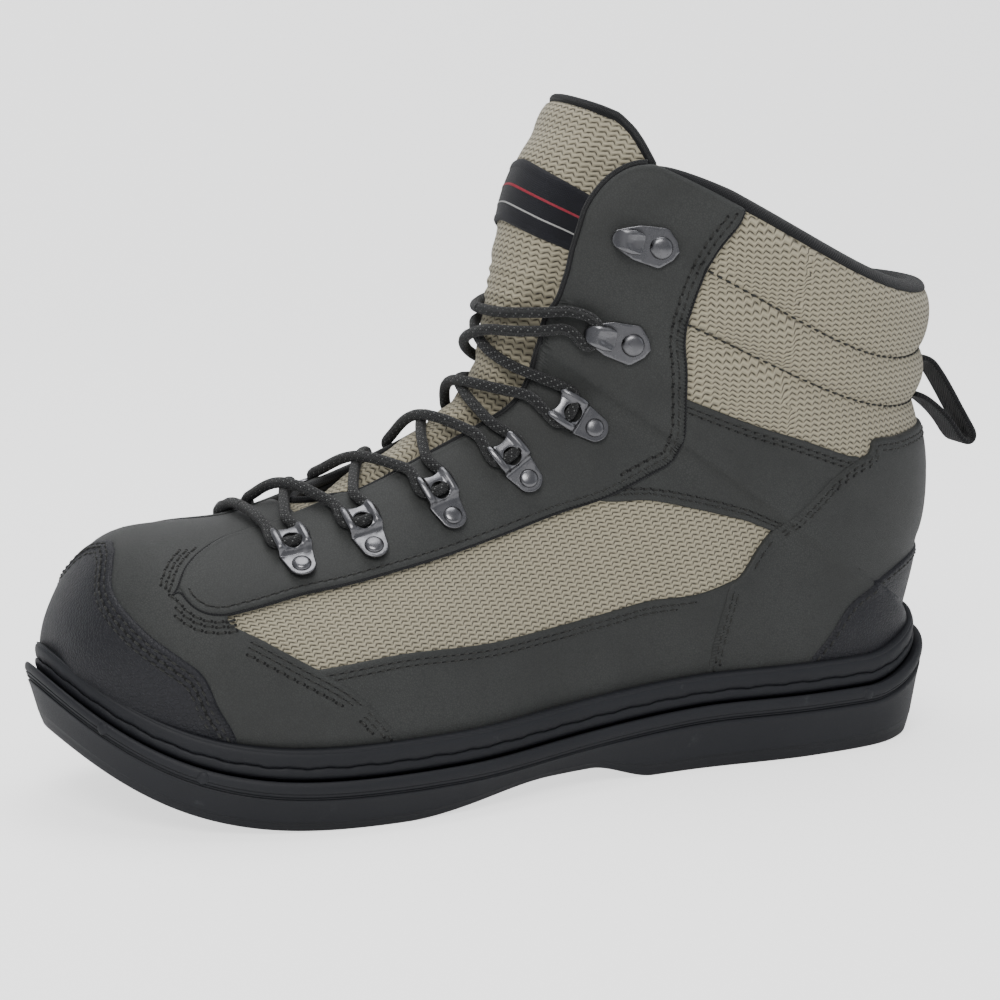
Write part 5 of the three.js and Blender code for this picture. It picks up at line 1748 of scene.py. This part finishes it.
def plate(outline, holes, top, under, spacing=0.0007, soft=0.00028):
    """A metal sheet with rounded edges: its plan, its holes, and its heights above and below."""
    loops = [flat_spread(loop, 0.00055, closed=True) for loop in [outline, *holes]]
    ways = []
    for k, loop in enumerate(loops):
        run = unit(np.roll(loop, -1, 0) - np.roll(loop, 1, 0))
        ways.append(np.column_stack([-run[:, 1], run[:, 0]]) * np.sign(swept(loop)) * (1 if k == 0 else -1))
    edge = np.vstack(loops)
    low, high = loops[0].min(0), loops[0].max(0)
    x, y = (g.ravel() for g in np.meshgrid(*(np.arange(a, b, spacing) for a, b in zip(low, high)), indexing="ij"))
    grid = np.column_stack([x, y])
    keep = inside(grid, loops[0])
    for hole in loops[1:]:
        keep &= ~inside(grid, hole)
    grid = grid[keep]
    near = apart(tree_of([(x, y, 0) for x, y in edge]), [(x, y, 0) for x, y in grid])
    grid, near = grid[near > 1.6 * soft], near[near > 1.6 * soft]
    rims = [
        (loop + way * soft * step, np.full(len(loop), soft * step))
        for loop, way in zip(loops, ways) for step in (0.35, 1.0)
    ]
    places = np.vstack(loops + [r[0] for r in rims] + [grid])
    distance = np.concatenate([np.zeros(len(edge)), *[r[1] for r in rims], near])
    chains, start = [], 0
    for loop in loops:
        chains.append(list(range(start, start + len(loop))))
        start += len(loop)
    chains = [chains[0], *[c[::-1] for c in chains[1:]]]
    made = delaunay_2d_cdt([Vector(p) for p in places.tolist()], [], chains, 1, 1e-8)
    verts = np.array([tuple(v) for v in made[0]])
    source = np.array([o[0] if o else 0 for o in made[3]])
    away = distance[source]
    faces = []
    for f in made[2]:
        middle = verts[list(f)].mean(0)[None]
        if inside(middle, loops[0])[0] and not any(inside(middle, hole)[0] for hole in loops[1:]):
            faces.append(list(f))
    rise = soft * (1 - np.sqrt(np.maximum(1 - (1 - np.clip(away / soft, 0, 1)) ** 2, 0)))
    above = np.column_stack([verts, top(verts[:, 0], verts[:, 1]) - rise])
    below = np.column_stack([verts, under(verts[:, 0], verts[:, 1]) + rise * 0.5])
    below[:, 2] = np.minimum(below[:, 2], above[:, 2] - 0.0002)
    count = len(verts)
    find = tree_of([(v[0], v[1], 0) for v in verts])
    all_faces = faces + [[count + k for k in f[::-1]] for f in faces]
    for loop in loops:
        ids = [find.find((p[0], p[1], 0))[1] for p in loop]
        for a, b in zip(ids, ids[1:] + ids[:1]):
            if a != b:
                all_faces.append([a, b, count + b, count + a])
    return np.vstack([above, below]), all_faces


def circle(middle, radius, count=40, start=0.0, end=2 * np.pi, closed=True):
    a = np.linspace(start, end, count, endpoint=not closed)
    return np.column_stack([middle[0] + radius * np.cos(a), middle[1] + radius * np.sin(a)])


def loop_plate():
    """A lace loop: rivet plate, a step, and a bracket with two rails, a round hole and a hollowed end."""
    mm = LOOP_SCALE
    rear = circle((-9.0, 0), 4.2, 22, math.radians(112), math.radians(248), closed=False)
    right = np.array([
        (-8.0, -4.35), (-6.0, -4.75), (-4.6, -4.95), (-4.0, -5.1), (-2.0, -5.3), (1.5, -5.3), (4.2, -5.0),
        (5.5, -4.5), (6.0, -3.6),
    ])
    bow = circle((8.6, 0), 4.5, 13, math.radians(-128), math.radians(-232), closed=False)
    outline = np.vstack([rear, right, bow, right[::-1] * (1, -1)]) * mm
    hole = circle((-0.9, 0), 2.75, 44) * mm

    def arch(x, y):
        x, y = x / mm, y / mm
        crown = np.clip(1 - np.abs((x - 0.7) / 5.5) ** 2.6, 0, 1) ** 0.5
        rail = ramp(2.75, 3.35, np.abs(y)) * (1 - 0.45 * ramp(4.4, 5.4, np.abs(y)))
        high = 1.3 + 2.35 * crown + (0.95 * rail - 0.15) * ramp(0.0, 0.5, crown)
        flat = 1.0
        return np.where(x < -4.3, flat, flat + (high - flat) * ramp(-4.35, -3.6, x)) * mm

    def under(x, y):
        return np.where(x < -4.0 * mm, 0.0, np.maximum(arch(x, y) - 1.05 * mm, 0.0))

    return plate(outline, [hole], arch, under)


def hook_plates():
    """A lace hook: a six-sided plate and a rounded flap that folds over from its nose."""
    mm = HOOK_SCALE
    right = np.array([
        (-11.6, 0), (-10.4, -2.6), (-7.4, -5.4), (-6.6, -5.7), (-3.0, -5.3), (0.5, -4.9), (4.5, -3.3), (6.8, -2.2),
        (7.6, -1.0),
    ])
    outline = np.vstack([right, right[::-1][:-1] * (1, -1)]) * mm
    base = plate(outline, [], lambda x, y: np.full_like(x, 1.0 * mm), lambda x, y: np.zeros_like(x))
    side = np.array([(-1.2, -2.0), (-0.6, -3.0), (1.5, -3.35), (4.4, -3.1), (6.4, -2.4), (7.6, -1.2), (7.9, 0)])
    flap = np.vstack([side, side[::-1][1:] * (1, -1)]) * mm

    def over(x, y):
        x, y = x / mm, y / mm
        fall = np.clip((x - 3.4) / 4.6, 0, 1)
        channel = (1 - ramp(1.1 + 0.25 * x, 1.9 + 0.25 * x, np.abs(y) + 0.5 * x - 0.4)) * (1 - ramp(2.0, 4.0, x))
        return (0.95 + 3.9 * np.sqrt(1 - fall**2) - 0.75 * channel - 0.35 * ramp(2.4, 3.3, np.abs(y))) * mm

    def beneath(x, y):
        fall = np.clip((x / mm - 3.4) / 4.6, 0, 1)
        return np.maximum(over(x, y) - (0.75 + 1.4 * fall) * mm, 0.4 * mm)

    return base, plate(flap, [], over, beneath)


def rivet(x, radius, height, sides=36):
    """A domed rivet. The groove round its foot is only painted shade, a dark ring laid by seat_ring."""
    profile = [(0, 1), (0.3, 0.985), (0.55, 0.93), (0.75, 0.82), (0.88, 0.66), (0.96, 0.46), (1.0, 0.22), (1.0, 0.0)]
    points = [(x, 0.0, height + 0.001)]
    for r, z in profile[1:]:
        for a in np.linspace(0, 2 * np.pi, sides, endpoint=False):
            points.append((x + r * radius * math.cos(a), r * radius * math.sin(a), 0.0009 + z * height))
    return np.array(points), dome_faces(len(profile) - 1, sides)


def seat_ring(x, radius, sides=36):
    """A thin dark ring of painted shade for the gap round a rivet's foot."""
    points = np.vstack([
        np.column_stack([circle((x, 0), r, sides), np.full(sides, z)])
        for r, z in ((radius, 0.00104), (radius - 0.0006, 0.00101))
    ])
    return points, [[j, (j + 1) % sides, sides + (j + 1) % sides, sides + j] for j in range(sides)]


# Rivets: where on the plate, the radius and height of the head, and the radius of the dark ring of painted shade for
# the gap round it
LOOP_RIVET = (-9.0 * LOOP_SCALE, 0.0032, 0.0015, 0.0037)
HOOK_RIVET = (-6.4 * HOOK_SCALE, 0.0039, 0.0019, 0.0045)


def rivet_on(plates, heads, place, hand, sort):
    x, radius, height, gap = sort
    # The gap round the rivet's foot is painted shade: a flat dark ring on the plate.
    ring, ring_faces = seat_ring(x, gap)
    plates.add(placed_at(ring, place, hand), ring_faces, None, 1)
    points, faces = rivet(x, radius, height)
    heads.add(placed_at(points, place, hand), faces)


class BOOT_OT_hardware(bpy.types.Operator):
    """Lace loops and hooks of gunmetal, riveted to the facings."""

    bl_idname = "boot.hardware"
    bl_label = "Hardware"

    def execute(self, context):
        loop_points, loop_faces = loop_plate()
        (base, base_faces), (flap, flap_faces) = hook_plates()
        for hand, side in ((-1, "outer"), (1, "inner")):
            loops, heads, hooks, hook_heads = (Gather() for _ in range(4))
            for place in LOOP_PLACES:
                loops.add(placed_at(loop_points, place, hand), loop_faces)
                rivet_on(loops, heads, place, hand, LOOP_RIVET)
            for place in HOOK_PLACES:
                hooks.add(placed_at(base, place, hand), base_faces)
                hooks.add(placed_at(flap, place, hand), flap_faces)
                rivet_on(hooks, hook_heads, place, hand, HOOK_RIVET)
            for name, gathered, count in (
                ("lace_loop", loops, 5), ("loop_rivet", heads, 5),
                ("lace_hook", hooks, 2), ("hook_rivet", hook_heads, 2),
            ):
                piece = f"{name}s_{side}"
                nodes = [f"{name}_{side}_{k + 1}" for k in range(count)]
                mesh = turned_out(gathered.mesh(piece), 1e-7)
                link(piece, mesh, [gun_metal(), painted_shade_hole()], "gunmetal", *nodes)
        return {"FINISHED"}


# Laces


def beside(place, step, reach=0.12, share=0.34):
    """A place next to a loop's side, towards the toe or the leg."""
    form = last()
    row, turn, _ = place
    a, b = (form.skin(np.array(row + d), np.array(-turn), np.array(0.0)) for d in (0.1, -0.1))
    per_row = np.linalg.norm(a - b) / 0.2
    return row + share * step * 0.011 / per_row, turn - reach


def lace_strand(start, end, hand, lift, sag):
    """Points of the lace over the tongue between two places."""
    form, s = last(), sizes()
    t = np.linspace(-1, 1, 13)
    row = start[0] + (end[0] - start[0]) * (t + 1) / 2 - sag * (1 - t**2)
    turn = np.abs(t) * np.where(t < 0, start[1], end[1])
    on_sheet = np.maximum(t**2, 1 - ramp(5.6, 6.3, row))
    out = s.lace_width / 2 + 0.0001 + 0.003 * on_sheet + lift * (1 - t**2) ** 2
    return form.skin(row, np.where(t < 0, hand, -hand) * turn, out)


def through_loop(place, hand, first, final, height=0.0021):
    """The lace through a bracket, from one of its sides to the other."""
    steps = (first, 0.55 * first, 0.0, 0.55 * final, final)
    local = np.array([(0.0006 - 0.0014 * (1 - abs(step)), step * 0.0058, height) for step in steps])
    return placed_at(local if side_sign(place, hand) > 0 else local * MIRROR, place, hand)


def side_sign(place, hand):
    """Whether a plate's crosswise way runs the way the rows do."""
    form = last()
    _, _, side, _ = stance(place, hand)
    ahead = form.form(place[0] + 0.1, hand * place[1]) - form.form(place[0] - 0.1, hand * place[1])
    return 1 if ahead.dot(side) > 0 else -1


LACE_SAG = (0, 0, 0, 0.25, 0.85)
ROUND_HOOK = np.array([(7.0, -4.9, 2.7), (4.9, -2.7, 2.9), (4.4, 0.0, 2.95), (4.9, 2.7, 2.9), (7.0, 4.9, 2.7)]) * 0.001


class BOOT_OT_laces(bpy.types.Operator):
    """One round braided lace, crossed over the tongue and drawn through the loops and round the lower hooks."""

    bl_idname = "boot.laces"
    bl_label = "Laces"

    def execute(self, context):
        places = list(LOOP_PLACES) + [HOOK_PLACES[0]]
        braid = Gather()
        radius, over = sizes().lace_width / 2, 0.72 * sizes().lace_width
        for hand in (-1, 1):
            first = beside(places[0], -1)
            knots = [lace_strand(first, first, hand, 0.0, 0.0)[6::-1]]
            for k, sag in enumerate(LACE_SAG):
                knots.append(through_loop(places[k], hand, -1, 1))
                ends = beside(places[k], 1), beside(places[k + 1], -1)
                knots.append(lace_strand(*ends, hand, -0.0005 if hand < 0 else over, sag))
                hand = -hand
            hook = places[-1]
            knots.append(placed_at(ROUND_HOOK * (MIRROR if side_sign(hook, hand) < 0 else 1), hook, hand))
            knots.append(lace_strand(beside(hook, 1), beside(hook, 1), hand, 0.0, 1.6)[:7])
            line = np.vstack(knots)
            keep = [0]
            for k in range(1, len(line)):
                if np.linalg.norm(line[k] - line[keep[-1]]) > 0.0012:
                    keep.append(k)
            braid.add(*tube(smooth_path(spread(rounded(line[keep], 8), 0.0011), 6), radius))
        mesh = braid.mesh("braided_lace")
        nodes = ["lace_bar_1", "lace_bar_top"] + [f"lace_cross_{k}" for k in range(1, 6)]
        link("braided_lace", mesh, lace_cord(), "cord", *nodes)
        return {"FINISHED"}


# Pull loop and footbed

STRAP_REACH = 0.027


class BOOT_OT_pull_loop(bpy.types.Operator):
    """A webbing loop sewn to the back of the collar."""

    bl_idname = "boot.pull_loop"
    bl_label = "Pull loop"

    def execute(self, context):
        form = last()
        foot = form.skin(np.array(14.3), np.array(-2.0), np.array(sizes().puff + 0.0006))
        wide, thick = 0.0068, 0.0011
        line = np.array([
            (-0.06, 0.2), (0.07, 0.24), (0.2, 0.19), (0.36, 0.0), (0.52, -0.24), (0.68, -0.5), (0.82, -0.72),
            (0.885, -0.84), (0.865, -0.93), (0.78, -0.95), (0.69, -0.88), (0.56, -0.7), (0.42, -0.54), (0.26, -0.4),
            (0.1, -0.29), (-0.06, -0.23),
        ]) * STRAP_REACH
        path = np.column_stack([foot[0] + line[:, 0], np.full(len(line), foot[1]), foot[2] + line[:, 1]])
        path = smooth_path(spread(rounded(path), 0.0009), 3)
        normal = np.cross(unit(np.gradient(path, axis=0)), (0, 1, 0))
        section = []
        for a in np.linspace(0, 2 * np.pi, 20, endpoint=False):
            c, s = math.cos(a), math.sin(a)
            section.append((wide * np.sign(c) * abs(c) ** 0.25, thick * np.sign(s) * abs(s) ** 0.6))
        section = np.array(section)
        points = path[:, None] + section[None, :, 0:1] * np.array([0, 1, 0]) + section[None, :, 1:2] * normal[:, None]
        around = np.broadcast_to(section[:, 0], (len(path), 20))
        uv = np.stack([around, np.broadcast_to(lengths(path)[:, None], around.shape)], -1).reshape(-1, 2)
        strap = Gather()
        strap.add(points.reshape(-1, 3), grid_faces(len(path), 20, around=True), uv)
        mesh = turned_out(strap.mesh("pull_strap"), 1e-7)
        link("pull_strap", mesh, strap_webbing(), "webbing", "pull_loop")
        return {"FINISHED"}


class BOOT_OT_footbed(bpy.types.Operator):
    """The footbed inside the boot."""

    bl_idname = "boot.footbed"
    bl_label = "Footbed"

    def execute(self, context):
        form = last()
        edge = 1.1 + (sizes().wall + 0.0009) / sizes().feather
        low = form.seat + form.gap
        profile = ((0.0, 0.0), (0.0, 0.0022), (0.04, 0.0032), (0.12, 0.0039), (0.3, 0.004))
        points, faces = ring_stack([sole_ring(edge + inset, layer_at(low + up)) for inset, up in profile])
        link("footbed", mesh_of("footbed", points, faces, points[:, :2]), lining_cloth(), "lining", "insole")
        return {"FINISHED"}


# Stage


# Along, across and up from the heel: where the photograph's camera stood, and what it was aimed at
CAMERA_AT, CAMERA_AIM = (0.6021, -0.9881, 0.3047), (0.1622, 0.0, 0.1042)


class BOOT_OT_stage(bpy.types.Operator):
    """Floor, soft lights and the camera at the photograph's angle."""

    bl_idname = "boot.stage"
    bl_label = "Stage"

    def execute(self, context):
        form = last()
        floor = bpy.data.meshes.new("floor")
        reach, back, rise = 3.0, 1.7, 2.4
        bend = 0.6
        profile = [(-reach, 0.0), (back - bend, 0.0)]
        for a in np.linspace(0, np.pi / 2, 12)[1:]:
            profile.append((back - bend + bend * math.sin(a), bend - bend * math.cos(a)))
        profile.append((back, rise))
        points = [(x, y, z) for y, z in profile for x in (-reach, reach)]
        faces = [[2 * k, 2 * k + 1, 2 * k + 3, 2 * k + 2] for k in range(len(profile) - 1)]
        floor.from_pydata(points, [], faces)
        floor.polygons.foreach_set("use_smooth", [True] * len(faces))
        piece = bpy.data.objects.new("floor", floor)
        context.scene.collection.objects.link(piece)
        floor.materials.append(pale_floor())
        world = bpy.data.worlds.new("studio")
        world.use_nodes = True
        world.node_tree.nodes["Background"].inputs[0].default_value = (0.93, 0.95, 1.0, 1.0)
        world.node_tree.nodes["Background"].inputs[1].default_value = 0.42
        context.scene.world = world
        for name, where, size, power, colour in (
            ("key", (-0.7, -1.1, 1.25), 0.9, 14.0, (1.0, 0.985, 0.96)),
            ("fill", (1.1, -0.9, 0.8), 1.2, 1.5, (0.95, 0.97, 1.0)),
            ("top", (0.05, 0.25, 1.5), 1.1, 11.0, (1.0, 1.0, 1.0)),
        ):
            light = bpy.data.lights.new(name, "AREA")
            light.shape, light.size, light.energy, light.color = "DISK", size, power, colour
            lamp = bpy.data.objects.new(name, light)
            lamp.location = where
            aim = Vector((0, 0, 0.09)) - Vector(where)
            lamp.rotation_euler = aim.to_track_quat("-Z", "Y").to_euler()
            context.scene.collection.objects.link(lamp)
        view = bpy.data.cameras.new("photo_view")
        view.lens, view.sensor_width, view.sensor_fit = 116.1, 36.0, "AUTO"
        view.shift_x, view.shift_y = 0.003, -0.035
        camera = bpy.data.objects.new("photo_view", view)
        spot, target = (Vector(form.place(*at).tolist()) for at in (CAMERA_AT, CAMERA_AIM))
        camera.location = spot
        camera.rotation_euler = (target - spot).to_track_quat("-Z", "Y").to_euler()
        context.scene.collection.objects.link(camera)
        context.scene.camera = camera
        return {"FINISHED"}


class BOOT_PT_panel(bpy.types.Panel):
    """Lists the boot's pieces and sizes."""

    bl_idname = "BOOT_PT_panel"
    bl_label = "Wading boot"
    bl_space_type = "VIEW_3D"
    bl_region_type = "UI"
    bl_category = "Wading boot"

    def draw(self, context):
        for made in PIECES:
            self.layout.operator(made.bl_idname)
        for group in (context.scene.boot_sizes, context.scene.boot_stitches, context.scene.boot_colours):
            for key in group.bl_rna.properties.keys():
                if key not in ("rna_type", "name"):
                    self.layout.prop(group, key)


PIECES = (
    BOOT_OT_stage,
    BOOT_OT_sole,
    BOOT_OT_upper,
    BOOT_OT_tongue,
    BOOT_OT_bindings,
    BOOT_OT_panels,
    BOOT_OT_stitching,
    BOOT_OT_hardware,
    BOOT_OT_laces,
    BOOT_OT_pull_loop,
    BOOT_OT_footbed,
)
GROUPS = (BootSizes, BootStitches, BootColours)


def register():
    for made in GROUPS + PIECES + (BOOT_PT_panel,):
        bpy.utils.register_class(made)
    bpy.types.Scene.boot_sizes = PointerProperty(type=BootSizes)
    bpy.types.Scene.boot_stitches = PointerProperty(type=BootStitches)
    bpy.types.Scene.boot_colours = PointerProperty(type=BootColours)


def unregister():
    del bpy.types.Scene.boot_sizes
    del bpy.types.Scene.boot_stitches
    del bpy.types.Scene.boot_colours
    for made in reversed(GROUPS + PIECES + (BOOT_PT_panel,)):
        bpy.utils.unregister_class(made)


def main():
    register()
    for made in PIECES:
        area, name = made.bl_idname.split(".")
        getattr(getattr(bpy.ops, area), name)()


if __name__ == "__main__":
    main()
